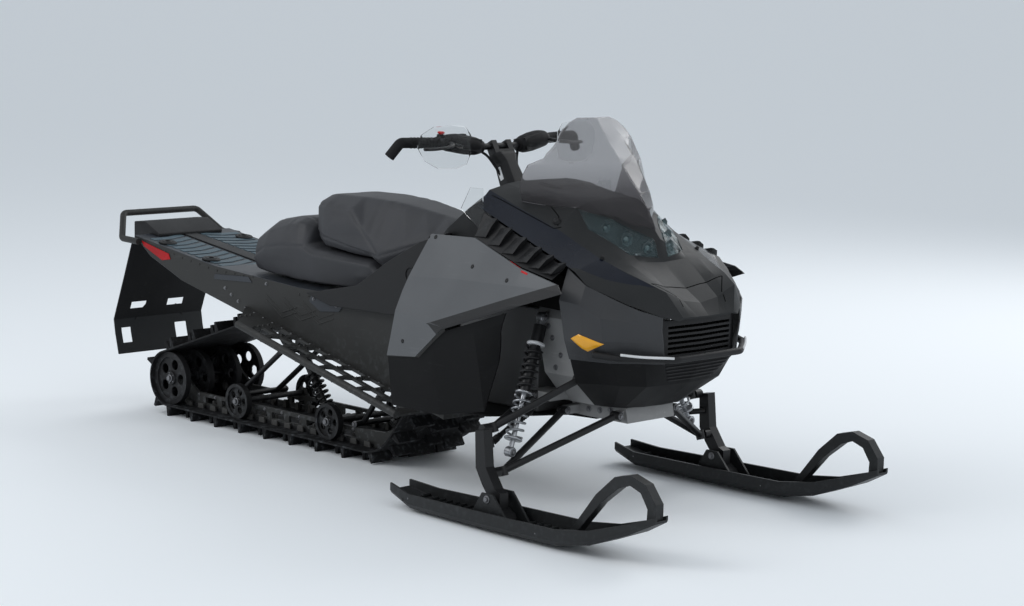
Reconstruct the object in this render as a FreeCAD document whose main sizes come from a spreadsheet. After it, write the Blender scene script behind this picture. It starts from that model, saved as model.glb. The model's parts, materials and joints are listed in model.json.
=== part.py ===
import FreeCAD, Part
import math
import os
import Sketcher
from FreeCAD import Placement, Rotation, Vector

# Snowmobile with one long lugged track, two steered skis, a stepped two-up seat and faceted bodywork.
# X points forward, Y to the left and Z up. The origin is on the ground, midway between the rear flap
# and the ski tips, on the symmetry plane.

doc = FreeCAD.newDocument("snowmobile")

# Driving dimensions in millimetres

sizes = {
    # small clearances and stock
    "seat_gap": 0.3,
    "panel_gap": 0.8,
    "moving_gap": 6,
    "overrun": 60,
    "panel_wall": 5,
    "sheet_wall": 4,
    # tunnel
    "tunnel_half": 225,
    "tunnel_rear": 1393,
    "tunnel_rear_z": 672,
    "tunnel_heel": 1294,
    "tunnel_heel_z": 602,
    "tunnel_bend": 896,
    "tunnel_bend_z": 604,
    "tunnel_knee": 413,
    "roof_z": 575,
    "tunnel_front": 330,
    # running boards
    "board_front": 262,
    "board_front_z": 244,
    "board_long": 1010,
    "board_rise": 240,
    "board_wide": 150,
    "board_thick": 10,
    "board_rail_radius": 13,
    "board_window_long": 84,
    "board_window_wide": 46,
    "board_window_pitch": 100,
    "board_margin": 16,
    # rear end
    "flap_half": 208,
    "flap_thick": 6,
    "flap_top_z": 640,
    "flap_foot_z": 199,
    "cap_half": 150,
    "cap_rear": 1500,
    "cap_top_z": 716,
    "hoop_radius": 12,
    "hoop_top_z": 740,
    "anchor_radius": 21,
    "anchor_tall": 9,
    "anchor_spread": 180,
    "reflector_thick": 3,
    "cooler_thick": 14,
    "cooler_half": 150,
    "cooler_long": 380,
    # seats
    "rear_seat_rear": 765,
    "rear_seat_long": 705,
    "rear_seat_half": 198,
    "rear_seat_tall": 220,
    "rider_seat_rear": 440,
    "rider_seat_long": 676,
    "rider_seat_half": 190,
    "rider_seat_tall": 190,
    # bodywork
    "body_long": 1250,
    "body_half": 400,
    "body_tall": 1000,
    "lens_deep": 16,
    "shield_wall": 4,
    "fairing_thick": 32,
    "fairing_hole_radius": 22,
    "blade_count": 6,
    "blade_rear_tall": 5,
    "blade_tall": 20,
    "grille_slat": 8,
    "grille_pitch": 16,
    "grille_half": 165,
    "bumper_radius": 11,
    # heavy parts inside
    "engine_half": 190,
    "engine_rear": 362,
    "engine_top_z": 630,
    "bulkhead_rear": 740,
    "bulkhead_long": 300,
    "bulkhead_half": 230,
    "bulkhead_tall": 343.7,
    "floor_z": 290,
    "floor_thick": 6,
    # front suspension
    "kingpin_y": 460,
    "upper_ball_x": 803,
    "upper_ball_z": 292,
    "lower_ball_x": 850,
    "lower_ball_z": 163,
    "ball_radius": 15,
    "arm_radius": 11,
    "upper_rear_x": 745,
    "upper_rear_y": 236,
    "upper_rear_z": 364,
    "upper_front_x": 960,
    "upper_front_y": 246,
    "upper_front_z": 440,
    "lower_rear_x": 822,
    "lower_rear_y": 170,
    "lower_rear_z": 316,
    "lower_front_x": 1010,
    "lower_front_y": 128,
    "lower_front_z": 320,
    "shock_top_x": 788,
    "shock_top_y": 240,
    "shock_top_z": 612,
    "shock_foot_x": 836,
    "shock_foot_y": 417.5,
    "shock_foot_z": 215.5,
    "shock_body_radius": 21,
    "shock_rod_radius": 8,
    "shock_eye_radius": 16,
    "spring_radius": 25,
    "spring_wire": 4,
    "spring_turns": 7,
    # spindles, tie rods and skis
    "spindle_wide": 36,
    "spindle_y": 520,
    "ski_bolt_x": 890,
    "ski_bolt_z": 96,
    "ski_bolt_radius": 8,
    "ski_rear": 450,
    "ski_long": 1105,
    "ski_half": 80,
    "ski_tall": 150,
    "ski_wall": 8,
    "saddle_half": 38,
    "saddle_wall": 8,
    "handle_wide": 34,
    "handle_thick": 14,
    "keel_wide": 16,
    "keel_tall": 12,
    "keel_rear": 600,
    "keel_long": 620,
    "tie_ball_x": 745,
    "tie_ball_y": 415,
    "tie_ball_z": 225,
    "tie_inner_y": 215,
    "tie_inner_z": 330,
    "tie_radius": 8,
    "tie_ball_radius": 12,
    # track and its running gear
    "track_half": 203,
    "belt_thick": 6,
    "lug_tall": 38,
    "lug_thick": 12,
    "lug_pitch": 72.6,
    "rear_wheel_x": 1220,
    "rear_wheel_radius": 100,
    "driver_x": 145,
    "driver_z": 400,
    "driver_radius": 92,
    "carrier_x": 590,
    "carrier_z": 392,
    "carrier_radius": 65,
    "rail_curve_x": 100,
    "rail_curve_radius": 170,
    "rail_y": 128,
    "rail_thick": 12,
    "rail_tall": 56,
    "wheel_wide": 24,
    "bogie_radius": 65,
    "axle_radius": 10,
    # steering
    "post_radius": 15,
    "post_below": 30,
    "bar_radius": 11,
    "grip_radius": 17,
    "grip_reach": 385,
    "guard_thick": 4,
}


class Length:
    """A length together with the expression that gives it from the sheet's cells."""

    def __init__(self, number, text):
        self.number = number
        self.text = text

    def mix(self, other, sign, number):
        return Length(number, f"({self.text} {sign} {other.text})")

    def __add__(self, other):
        other = length(other)
        return self.mix(other, "+", self.number + other.number)

    def __sub__(self, other):
        other = length(other)
        return self.mix(other, "-", self.number - other.number)

    def __mul__(self, other):
        other = length(other)
        return self.mix(other, "*", self.number * other.number)

    def __truediv__(self, other):
        other = length(other)
        return self.mix(other, "/", self.number / other.number)

    def __neg__(self):
        return length(0) - self

    def __float__(self):
        return float(self.number)

    __radd__ = __add__
    __rmul__ = __mul__

    def __rsub__(self, other):
        return length(other) - self


def length(value):
    """Any number as a Length."""
    return value if isinstance(value, Length) else Length(value, repr(value))


class Sheet:
    """The spreadsheet of driving dimensions, read as attributes."""

    def __init__(self, values):
        self.cells = doc.addObject("Spreadsheet::Sheet", "Sizes")
        for row, (name, value) in enumerate(values.items(), 1):
            self.cells.set(f"A{row}", name)
            self.cells.set(f"B{row}", str(value))
            self.cells.setAlias(f"B{row}", name)
        doc.recompute()

    def __getattr__(self, name):
        return Length(self.cells.get(name), f"Sizes.{name}")


s = Sheet(sizes)
pieces = {}


# Tools for bodies, sketches and features

def keep(name, thing):
    """Register a finished sub-part under its label."""
    thing.Label = name
    pieces[name] = thing
    return thing


def new_body(name):
    return doc.addObject("PartDesign::Body", name)


def new_sketch(body, role, shift=0):
    """A sketch on one of the body's own origin planes, shifted along the plane's normal."""
    sketch = body.newObject("Sketcher::SketchObject", "Profile")
    plane = [feature for feature in body.Origin.OriginFeatures if feature.Role == role][0]
    sketch.AttachmentSupport = [(plane, "")]
    sketch.MapMode = "FlatFace"
    sketch.setExpression("AttachmentOffset.Base.z", length(shift).text)
    return sketch


def add_polygon(sketch, points):
    """A closed polygon whose every corner is bound to the sheet."""
    points = [(length(u), length(v)) for u, v in points]
    corners = [Vector(float(u), float(v), 0) for u, v in points]
    first = sketch.GeometryCount
    count = len(corners)
    sketch.addGeometry([Part.LineSegment(corners[i], corners[(i + 1) % count]) for i in range(count)])
    sketch.addConstraint([Sketcher.Constraint("Coincident", first + i, 2, first + (i + 1) % count, 1)
                          for i in range(count)])
    for i, pair in enumerate(points):
        for kind, value in zip(("DistanceX", "DistanceY"), pair):
            place = sketch.addConstraint(Sketcher.Constraint(kind, first + i, 1, float(value)))
            sketch.setExpression(f"Constraints[{place}]", value.text)
    return sketch


def add_circle(sketch, u, v, radius):
    """A circle whose centre and radius are bound to the sheet."""
    u, v, radius = length(u), length(v), length(radius)
    place = sketch.addGeometry(Part.Circle(Vector(float(u), float(v), 0), Vector(0, 0, 1), float(radius)))
    for kind, value in (("DistanceX", u), ("DistanceY", v)):
        bound = sketch.addConstraint(Sketcher.Constraint(kind, place, 3, float(value)))
        sketch.setExpression(f"Constraints[{bound}]", value.text)
    bound = sketch.addConstraint(Sketcher.Constraint("Radius", place, float(radius)))
    sketch.setExpression(f"Constraints[{bound}]", radius.text)
    return sketch


def add_feature(body, kind, sketch, amount, both=False, flip=False):
    feature = body.newObject(f"PartDesign::{kind}", kind)
    feature.Profile = sketch
    feature.Midplane = both
    feature.Reversed = flip
    feature.setExpression("Length", length(amount).text)
    return feature


def pad(body, sketch, amount, both=False, flip=False):
    return add_feature(body, "Pad", sketch, amount, both, flip)


def pocket(body, sketch, amount, both=False, flip=False):
    return add_feature(body, "Pocket", sketch, amount, both, flip)


def repeat(body, feature, sketch, axis, span, count, flip=False):
    """Copies of a feature in a row along one of the sketch's axes."""
    pattern = body.newObject("PartDesign::LinearPattern", "Row")
    pattern.Originals = [feature]
    pattern.Direction = (sketch, [axis])
    pattern.Reversed = flip
    pattern.setExpression("Length", length(span).text)
    pattern.Occurrences = count
    body.Tip = pattern
    return pattern


def loft(body, sketches, ruled=True):
    feature = body.newObject("PartDesign::AdditiveLoft", "Loft")
    feature.Profile = sketches[0]
    feature.Sections = sketches[1:]
    feature.Ruled = ruled
    return feature


def prism(name, points, role, low, high):
    """A body that fills one outline between two distances along a plane's normal."""
    body = new_body(name)
    pad(body, add_polygon(new_sketch(body, role, low), points), length(high) - low)
    return body


def combine(kind, name, base, tool):
    feature = doc.addObject(f"Part::{kind}", name)
    feature.Base = base
    feature.Tool = tool
    return feature


def fuse(name, shapes):
    feature = doc.addObject("Part::MultiFuse", name)
    feature.Shapes = shapes
    return feature


def together(name, shapes):
    """Separate like solids that share one sub-part."""
    feature = doc.addObject("Part::Compound", name)
    feature.Links = shapes
    return feature


def mirrored(name, source):
    feature = doc.addObject("Part::Mirroring", name)
    feature.Source = source
    feature.Normal = (0, 1, 0)
    return feature


def both_sides(name, source):
    """A right-hand piece and its mirror image as two sub-parts."""
    keep(f"{name}_right", source)
    keep(f"{name}_left", mirrored(f"{name}_left", source))


def own_shape(name, shape):
    """A piece that runs freely in space, which no flat sketch holds."""
    feature = doc.addObject("Part::Feature", name)
    feature.Shape = shape
    return feature


def vector(x, y, z):
    return Vector(float(x), float(y), float(z))


def place(thing, x, y, z, axis=None, angle=None):
    """Put a sub-part at bound coordinates, turned about one axis."""
    turn = Rotation(axis, float(angle)) if axis else Rotation()
    thing.Placement = Placement(vector(x, y, z), turn)
    for letter, value in zip("xyz", (x, y, z)):
        thing.setExpression(f"Placement.Base.{letter}", length(value).text)
    if axis:
        thing.setExpression("Placement.Rotation.Angle", length(angle).text)


def slope(rise, run):
    """The angle of a slope in degrees."""
    rise, run = length(rise), length(run)
    return Length(math.degrees(math.atan2(float(rise), float(run))), f"atan({rise.text} / {run.text})")


def bent_wire(points, bend):
    """Straight runs joined by tangent arcs."""
    edges = []
    start = points[0]
    for i in range(1, len(points) - 1):
        before = (points[i - 1] - points[i]).normalize()
        after = (points[i + 1] - points[i]).normalize()
        half = before.getAngle(after) / 2
        back = bend / math.tan(half)
        first, last = points[i] + before * back, points[i] + after * back
        middle = points[i] + (before + after).normalize() * (bend / math.sin(half) - bend)
        edges.append(Part.LineSegment(start, first).toShape())
        edges.append(Part.Arc(first, middle, last).toShape())
        start = last
    edges.append(Part.LineSegment(start, points[-1]).toShape())
    return Part.Wire(edges)


def tube(points, radius, bend=None):
    """A round bar along straight runs and arcs."""
    radius = float(radius)
    path = bent_wire(points, float(bend)) if bend else Part.makePolygon(points)
    ring = Part.Wire(Part.makeCircle(radius, points[0], points[1] - points[0]))
    return path.makePipeShell([ring], True, False)


def rod(start, end, radius):
    """A straight round bar between two points."""
    return Part.makeCylinder(float(radius), (end - start).Length, start, end - start)


def ball(centre, radius):
    return Part.makeSphere(float(radius), centre)


def united(shapes):
    """One solid from shapes that meet, checked for its volume."""
    whole = shapes[0].multiFuse(shapes[1:])
    if len(whole.Solids) == 1 and whole.Volume < max(shape.Volume for shape in shapes):
        raise RuntimeError("a joined piece lost volume")
    return whole


def between(start, end, share):
    return start + (end - start) * share


# Tunnel: a folded sheet, open below and behind, that spans the track

def board_line(x):
    """Height of the running board's plane at a distance forward of the origin."""
    return s.board_front_z + (s.board_front - x) * (s.board_rise / s.board_long)


def tunnel():
    lower_front = (s.tunnel_front, board_line(s.tunnel_front) - s.board_thick)
    lower_rear = (-(s.tunnel_heel + s.tunnel_bend) / 2, board_line(-s.tunnel_bend) + s.board_thick)
    roof = [(-s.tunnel_rear, s.tunnel_rear_z), (-s.tunnel_bend, s.tunnel_bend_z),
            (-s.tunnel_knee, s.roof_z), (s.tunnel_front, s.roof_z)]
    outline = roof + [lower_front, lower_rear, (-s.tunnel_heel, s.tunnel_heel_z)]
    body = new_body("tunnel")
    pad(body, add_polygon(new_sketch(body, "XZ_Plane"), outline), s.tunnel_half * 2, both=True)
    inside = [(-s.tunnel_rear - s.overrun, s.tunnel_rear_z - s.sheet_wall
               + s.overrun * (s.tunnel_rear_z - s.tunnel_bend_z) / (s.tunnel_rear - s.tunnel_bend)),
              (-s.tunnel_bend, s.tunnel_bend_z - s.sheet_wall),
              (-s.tunnel_knee, s.roof_z - s.sheet_wall),
              (s.tunnel_front - s.sheet_wall, s.roof_z - s.sheet_wall),
              (s.tunnel_front - s.sheet_wall, 0), (-s.tunnel_rear - s.overrun, 0)]
    hollow = add_polygon(new_sketch(body, "XZ_Plane"), inside)
    pocket(body, hollow, (s.tunnel_half - s.sheet_wall) * 2, both=True)
    keep("tunnel", body)


def tunnel_cooler():
    """Finned plate that hangs under the rear of the tunnel's roof."""
    body = new_body("tunnel_cooler")
    fin = s.cooler_thick / 2
    pad(body, add_polygon(new_sketch(body, "YZ_Plane"),
                          [(-s.cooler_half, 0), (s.cooler_half, 0), (s.cooler_half, -fin),
                           (-s.cooler_half, -fin)]), s.cooler_long)
    rib = new_sketch(body, "YZ_Plane")
    add_polygon(rib, [(-s.cooler_half, -fin), (-s.cooler_half + fin, -fin),
                      (-s.cooler_half + fin, -s.cooler_thick), (-s.cooler_half, -s.cooler_thick)])
    ribs = pad(body, rib, s.cooler_long)
    repeat(body, ribs, rib, "H_Axis", s.cooler_half * 2 - fin, 12)
    angle = slope(s.tunnel_rear_z - s.tunnel_bend_z, s.tunnel_rear - s.tunnel_bend)
    start = s.tunnel_rear - s.cooler_thick * 2
    drop = (s.tunnel_rear - start) * (s.tunnel_rear_z - s.tunnel_bend_z) / (s.tunnel_rear - s.tunnel_bend)
    place(body, -start, 0, s.tunnel_rear_z - drop - s.sheet_wall - s.seat_gap * 2, Vector(0, 1, 0), angle)
    keep("tunnel_cooler", body)


# Running boards: sloping plates with two rows of openings and a round outer edge

def running_board():
    body = new_body("running_board_right")
    plane = "XY_Plane"
    taper = s.board_wide
    outline = [(0, 0), (0, -s.board_wide), (-s.board_long + taper, -s.board_wide), (-s.board_long, 0)]
    pad(body, add_polygon(new_sketch(body, plane), outline), s.board_thick)
    rail = new_sketch(body, "YZ_Plane")
    add_circle(rail, -s.board_wide, s.board_thick, s.board_rail_radius)
    pad(body, rail, s.board_long - taper, flip=True)
    window = new_sketch(body, plane)
    for row in (0, 1):
        inner = -s.board_margin - (s.board_window_wide + s.board_margin) * row
        shift = s.board_margin + s.board_window_pitch * 0.25 * row
        add_polygon(window, [(-shift, inner), (-shift, inner - s.board_window_wide),
                             (-shift - s.board_window_long * 0.85, inner - s.board_window_wide),
                             (-shift - s.board_window_long, inner - s.board_window_wide * 0.5),
                             (-shift - s.board_window_long * 0.85, inner)])
    hole = pocket(body, window, s.board_thick * 2, both=True)
    repeat(body, hole, window, "H_Axis", s.board_window_pitch * 7, 8, flip=True)
    angle = slope(s.board_rise, s.board_long)
    place(body, s.board_front, -s.tunnel_half, s.board_front_z - s.board_thick, Vector(0, 1, 0), angle)
    both_sides("running_board", body)


# Rear end: flap, lamp housing, grab hoop, cargo anchors and reflectors

flap_shares = ((0.0, 1.0), (0.42, 0.7), (1.0, 0.3), (0.92, 0.18), (0.74, 0.0))


def snow_flap():
    """Bent rubber flap with two slots and two windows."""
    body = new_body("snow_flap")
    start, run = s.cap_rear - s.cap_half * 0.47, s.cap_half * 0.797
    tall = s.flap_top_z - s.flap_foot_z
    front = [(-start - run * u, s.flap_foot_z + tall * v - s.seat_gap) for u, v in flap_shares]
    rear = [(x - s.flap_thick, z) for x, z in reversed(front)]
    pad(body, add_polygon(new_sketch(body, "XZ_Plane"), front + rear), s.flap_half * 2, both=True)
    cut = new_sketch(body, "YZ_Plane", -s.cap_rear - s.flap_half)
    for low, high, foot, head in ((-0.69, -0.35, 0.385, 0.445), (0.135, 0.5, 0.385, 0.445),
                                  (-0.86, -0.65, 0.09, 0.22), (0.35, 0.62, 0.09, 0.22)):
        z_low, z_high = s.flap_foot_z + tall * foot, s.flap_foot_z + tall * head
        y_low, y_high = s.flap_half * low, s.flap_half * high
        add_polygon(cut, [(y_low, z_low), (y_high, z_low), (y_high, z_high), (y_low, z_high)])
    pocket(body, cut, s.flap_half * 2, flip=True)
    keep("snow_flap", body)


def tail_cap():
    """Moulded housing that closes the tunnel's rear edge and carries the lamp."""
    front = s.tunnel_rear - s.cap_half * 0.35
    fall = (s.tunnel_rear - front) * (s.tunnel_rear_z - s.tunnel_bend_z) / (s.tunnel_rear - s.tunnel_bend)
    lip = s.tunnel_rear_z - fall + s.seat_gap
    outline = [(-front, lip), (-front, lip + s.sheet_wall * 3), (-s.tunnel_rear - s.cap_half * 0.25, s.cap_top_z),
               (-s.cap_rear, s.cap_top_z - s.panel_wall), (-s.cap_rear, s.flap_top_z + s.panel_wall),
               (-s.cap_rear + s.panel_wall, s.flap_top_z),
               (-s.tunnel_rear - s.seat_gap * 2, s.flap_top_z),
               (-s.tunnel_rear - s.seat_gap * 2, s.tunnel_rear_z + s.seat_gap * 2)]
    body = new_body("tail_cap")
    pad(body, add_polygon(new_sketch(body, "XZ_Plane"), outline), s.cap_half * 2, both=True)
    keep("tail_cap", body)


def tail_light():
    wide, tall = s.cap_half * 0.55, s.cap_top_z - s.flap_top_z
    low, high = s.flap_top_z + tall * 0.25, s.flap_top_z + tall * 0.75
    body = new_body("tail_light")
    outline = [(-wide, low), (wide, low), (wide, high), (-wide, high)]
    pad(body, add_polygon(new_sketch(body, "YZ_Plane", -s.cap_rear - s.seat_gap), outline),
        s.panel_wall * 2, flip=True)
    keep("tail_light", body)


def rear_bumper():
    """Grab hoop bent from one round tube, clamped along the tunnel's sides."""
    side = float(s.tunnel_half + s.hoop_radius + s.seat_gap)
    rear, top = float(s.cap_rear), float(s.hoop_top_z)
    lag, heel_z = float(s.cap_half), float(s.flap_top_z + s.hoop_radius)
    half = [Vector(-rear + lag, -side, heel_z), Vector(-rear + lag * 0.3, -side, heel_z + lag * 0.02),
            Vector(-rear - lag * 0.247, -side * 0.73, top), Vector(-rear - lag * 0.247, side * 0.73, top),
            Vector(-rear + lag * 0.3, side, heel_z + lag * 0.02), Vector(-rear + lag, side, heel_z)]
    keep("rear_bumper", own_shape("rear_bumper", tube(half, s.hoop_radius, s.hoop_radius * 2.2)))


def cargo_anchors():
    """Four round sockets on the tunnel's sloping rear deck."""
    body = new_body("cargo_anchors")
    sketch = new_sketch(body, "XY_Plane")
    reach = s.tunnel_rear - s.tunnel_bend
    for side in (-1, 1):
        for share in (0.3, 0.84):
            add_circle(sketch, reach * share, s.anchor_spread * side, s.anchor_radius)
            add_circle(sketch, reach * share, s.anchor_spread * side, s.anchor_radius * 0.5)
    pad(body, sketch, s.anchor_tall)
    angle = slope(s.tunnel_rear_z - s.tunnel_bend_z, s.tunnel_rear - s.tunnel_bend)
    place(body, -s.tunnel_rear, 0, s.tunnel_rear_z + s.seat_gap, Vector(0, 1, 0), angle)
    keep("cargo_anchors", body)


reflector_shares = ((0.1, 0.76), (0.44, 0.28), (0.46, 0.0), (0.36, -0.12), (0.13, 0.48))


def side_reflectors():
    """Wedge-shaped reflectors on the tunnel's sides."""
    run, rise = s.tunnel_rear - s.tunnel_bend, s.tunnel_rear_z - s.tunnel_heel_z
    outline = [(-s.tunnel_rear + run * u, s.tunnel_heel_z + rise * v) for u, v in reflector_shares]
    right = prism("reflector_right", outline, "XZ_Plane", s.tunnel_half + s.seat_gap,
                  s.tunnel_half + s.seat_gap + s.reflector_thick)
    keep("side_reflectors", together("side_reflectors", [right, mirrored("reflector_left", right)]))


# Seats: lofted cushions, the rear one under the rider's

# Each row: distance forward, foot and head heights, then half widths at foot, hip and head
rear_seat_shares = (
    (0.0, 0.10, 0.56, 0.78, 0.84, 0.66),
    (0.09, 0.085, 0.84, 0.86, 0.97, 0.64),
    (0.29, 0.045, 1.0, 0.88, 1.0, 0.62),
    (0.452, 0.012, 1.022, 0.88, 1.0, 0.60),
    (0.50, 0.004, 0.86, 0.88, 1.0, 0.70),
    (0.552, 0.004, 0.572, 0.88, 0.98, 0.86),
    (0.935, 0.004, 0.535, 0.86, 0.96, 0.88),
    (1.0, 0.004, 0.41, 0.84, 0.94, 0.88),
)
rider_seat_shares = (
    (0.0, 0.545, 0.90, 0.70, 0.80, 0.56),
    (0.05, 0.315, 0.985, 0.76, 0.90, 0.58),
    (0.098, 0.012, 1.0, 0.84, 0.97, 0.58),
    (0.35, 0.0, 0.985, 0.90, 1.0, 0.60),
    (0.50, -0.022, 0.975, 0.88, 1.0, 0.56),
    (0.568, -0.16, 0.96, 0.84, 0.99, 0.50),
    (0.78, 0.21, 0.855, 0.78, 0.94, 0.36),
    (1.0, 0.56, 0.72, 0.70, 0.80, 0.30),
)


def cushion(name, rows, rear, long, half, base_z, tall):
    """A padded block: bevelled cross-sections lofted along the machine."""
    body = new_body(name)
    sections = []
    for along, foot, head, low, hip, top in rows:
        foot_z, head_z = base_z + tall * foot, base_z + tall * head
        hip_z = foot_z + (head_z - foot_z) * 0.3
        rim_z = head_z - (head_z - foot_z) * 0.09
        side = [(half * low, foot_z), (half * hip, hip_z), (half * (top + 0.08), rim_z), (half * top, head_z)]
        outline = side + [(-y, z) for y, z in reversed(side)]
        sections.append(add_polygon(new_sketch(body, "YZ_Plane", -rear + long * along), outline))
    loft(body, sections)
    keep(name, body)


def seats():
    cushion("rear_seat", rear_seat_shares, s.rear_seat_rear, s.rear_seat_long, s.rear_seat_half,
            s.roof_z + s.seat_gap, s.rear_seat_tall)
    base = s.roof_z + s.rear_seat_tall * 0.5641
    cushion("rider_seat", rider_seat_shares, s.rider_seat_rear, s.rider_seat_long, s.rider_seat_half,
            base, s.rider_seat_tall)


# Bodywork: thin lofted skins in shares of the body's length, half width and height

def skin(name, rows, wall, lift=0):
    """Open skin across the machine: each row is a station and its outline from the centre out and down."""
    body = new_body(name)
    sections = []
    for station, half in rows:
        outer = [(s.body_half * y, s.body_tall * z + lift) for y, z in half]
        inner = [(y - (wall if share else 0), z - (0 if last else wall))
                 for (y, z), (share, _), last in zip(outer, half, [False] * (len(half) - 1) + [True])]
        right_outer = [(-y, z) for y, z in reversed(outer[1:])]
        right_inner = [(-y, z) for y, z in inner[1:]]
        outline = right_outer + outer + list(reversed(inner)) + right_inner
        sections.append(add_polygon(new_sketch(body, "YZ_Plane", s.body_long * station), outline))
    loft(body, sections)
    return body


def side_skin(name, rows, wall):
    """Right-hand side skin: each row is a station and its outline from the top down."""
    body = new_body(name)
    sections = []
    for station, side in rows:
        outer = [(-s.body_half * y, s.body_tall * z) for y, z in side]
        inner = [(y + wall, z) for y, z in reversed(outer)]
        sections.append(add_polygon(new_sketch(body, "YZ_Plane", s.body_long * station), outer + inner))
    loft(body, sections)
    return body


def side_outline(points):
    return [(s.body_long * x, s.body_tall * z) for x, z in points]


# Hood stations: centre, inner brow, outer brow, shoulder and sill
hood_shares = (
    (0.4309, ((0, 1.015), (0.28, 1.014), (0.40, 1.008), (0.595, 0.992), (0.725, 0.944))),
    (0.68, ((0, 0.980), (0.275, 0.972), (0.4125, 0.955), (0.59, 0.890), (0.80, 0.840))),
    (0.76, ((0, 0.945), (0.275, 0.925), (0.42, 0.880), (0.575, 0.846), (0.82, 0.808))),
    (0.811, ((0, 0.915), (0.28, 0.850), (0.4125, 0.838), (0.5625, 0.818), (0.8375, 0.785))),
    (0.845, ((0, 0.868), (0.275, 0.815), (0.40, 0.812), (0.53, 0.800), (0.825, 0.750))),
    (0.86, ((0, 0.798), (0.2625, 0.803), (0.3875, 0.802), (0.5175, 0.792), (0.795, 0.738))),
    (0.931, ((0, 0.728), (0.2375, 0.738), (0.35, 0.752), (0.465, 0.760), (0.655, 0.696))),
    (0.982, ((0, 0.688), (0.20, 0.700), (0.2875, 0.716), (0.40, 0.732), (0.475, 0.662))),
    (1.01, ((0, 0.652), (0.125, 0.653), (0.20, 0.654), (0.295, 0.655), (0.345, 0.646))),
)
core_floor_share = 0.5
lamp_outline_shares = ((0.055, 0.868), (0.2625, 0.926), (0.40, 0.952), (0.445, 0.895), (0.305, 0.824),
                       (0.055, 0.812))
lamp_reach_shares = (0.60, 0.93)


def lamp_prism(name, gap):
    """The lamps' outlines as seen from ahead, run back through the hood."""
    body = new_body(name)
    outline = []
    for y, z in lamp_outline_shares:
        outward = 1 if y > 0.2 else -1
        upward = 1 if z > 0.85 else -1
        outline.append((s.body_half * y + gap * outward, s.body_tall * z + gap * upward))
    near, far = lamp_reach_shares
    sketch = new_sketch(body, "YZ_Plane", s.body_long * near)
    add_polygon(sketch, outline)
    add_polygon(sketch, [(-y, z) for y, z in outline])
    pad(body, sketch, s.body_long * (far - near))
    return body


def hood():
    shell = skin("hood_skin", hood_shares, s.panel_wall)
    keep("hood", combine("Cut", "hood", shell, lamp_prism("lamp_openings", s.panel_gap / 2)))


def headlamps():
    lens = skin("lens_skin", hood_shares, s.lens_deep)
    keep("headlamps", combine("Common", "headlamps", lens, lamp_prism("lamp_outlines", s.seat_gap)))


# Windshield sections from the base up: height, then distance forward and half width from the centre out
shield_shares = (
    (0.86, ((0.828, 0), (0.75, 0.2625), (0.68, 0.40), (0.52, 0.50))),
    (0.90, ((0.828, 0), (0.75, 0.2625), (0.68, 0.40), (0.52, 0.50))),
    (0.955, ((0.804, 0), (0.744, 0.2625), (0.68, 0.41), (0.52, 0.53))),
    (1.0, ((0.773, 0), (0.728, 0.27), (0.668, 0.45), (0.52, 0.58))),
    (1.09, ((0.711, 0), (0.685, 0.2625), (0.64, 0.4625), (0.54, 0.60))),
    (1.16, ((0.66, 0), (0.644, 0.2375), (0.62, 0.41), (0.57, 0.53))),
    (1.228, ((0.62, 0), (0.61, 0.15), (0.604, 0.28), (0.59, 0.36))),
)
shield_side_shares = ((0.92, 0.84), (0.92, 1.3), (0.592, 1.3), (0.596, 1.105), (0.56, 1.085), (0.538, 1.04),
                      (0.53, 1.0), (0.53, 0.84))
shield_front_shares = ((0.0, 1.24), (0.18, 1.228), (0.27, 1.215), (0.345, 1.195), (0.40, 1.17), (0.45, 1.14),
                       (0.52, 1.10), (0.62, 1.06), (0.8, 1.0), (0.8, 0.8))


def windshield():
    """Thin screen, ridged along the middle, with its foot cut to the hood's surface."""
    body = new_body("shield_skin")
    sections = []
    for height, half in shield_shares:
        outer = [(s.body_long * x, s.body_half * y) for x, y in half]
        inner = [(x - (s.shield_wall if y > 0 else s.shield_wall * 1.5), s.body_half * y - (s.shield_wall if y else 0))
                 for (x, _), (_, y) in zip(outer, half)]
        inner[-1] = (outer[-1][0], outer[-1][1] - s.shield_wall)
        outline = ([(x, -y) for x, y in reversed(outer[1:])] + outer + list(reversed(inner))
                   + [(x, -y) for x, y in inner[1:]])
        sections.append(add_polygon(new_sketch(body, "XY_Plane", s.body_tall * height), outline))
    loft(body, sections)
    side = prism("shield_side", side_outline(shield_side_shares), "XZ_Plane", -s.body_half, s.body_half)
    half = [(s.body_half * y, s.body_tall * z) for y, z in shield_front_shares]
    front = prism("shield_front", half + [(-y, z) for y, z in reversed(half[1:])], "YZ_Plane", 0, s.body_long)
    trimmed = combine("Common", "shield_trimmed", combine("Common", "shield_sided", body, side), front)
    core = new_body("hood_core")
    levels = []
    for station, half in hood_shares:
        outer = [(s.body_half * y, s.body_tall * z + s.seat_gap) for y, z in half]
        outer.append((outer[-1][0], s.body_tall * core_floor_share))
        outline = [(-y, z) for y, z in reversed(outer[1:])] + outer
        levels.append(add_polygon(new_sketch(core, "YZ_Plane", s.body_long * station), outline))
    loft(core, levels)
    keep("windshield", combine("Cut", "windshield", trimmed, core))


# Nose side stations: sill, wing, belt and step, from the top down
cheek_shares = (
    (0.788, ((0.8375, 0.793), (0.925, 0.699), (0.86, 0.575), (0.80, 0.5141))),
    (0.845, ((0.825, 0.748), (0.885, 0.690), (0.845, 0.565), (0.76, 0.5141))),
    (0.895, ((0.735, 0.716), (0.825, 0.655), (0.795, 0.585), (0.705, 0.5141))),
    (0.954, ((0.605, 0.679), (0.60, 0.640), (0.58, 0.581), (0.515, 0.5141))),
    (0.988, ((0.455, 0.658), (0.46, 0.620), (0.44, 0.580), (0.42, 0.5141))),
)


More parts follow.
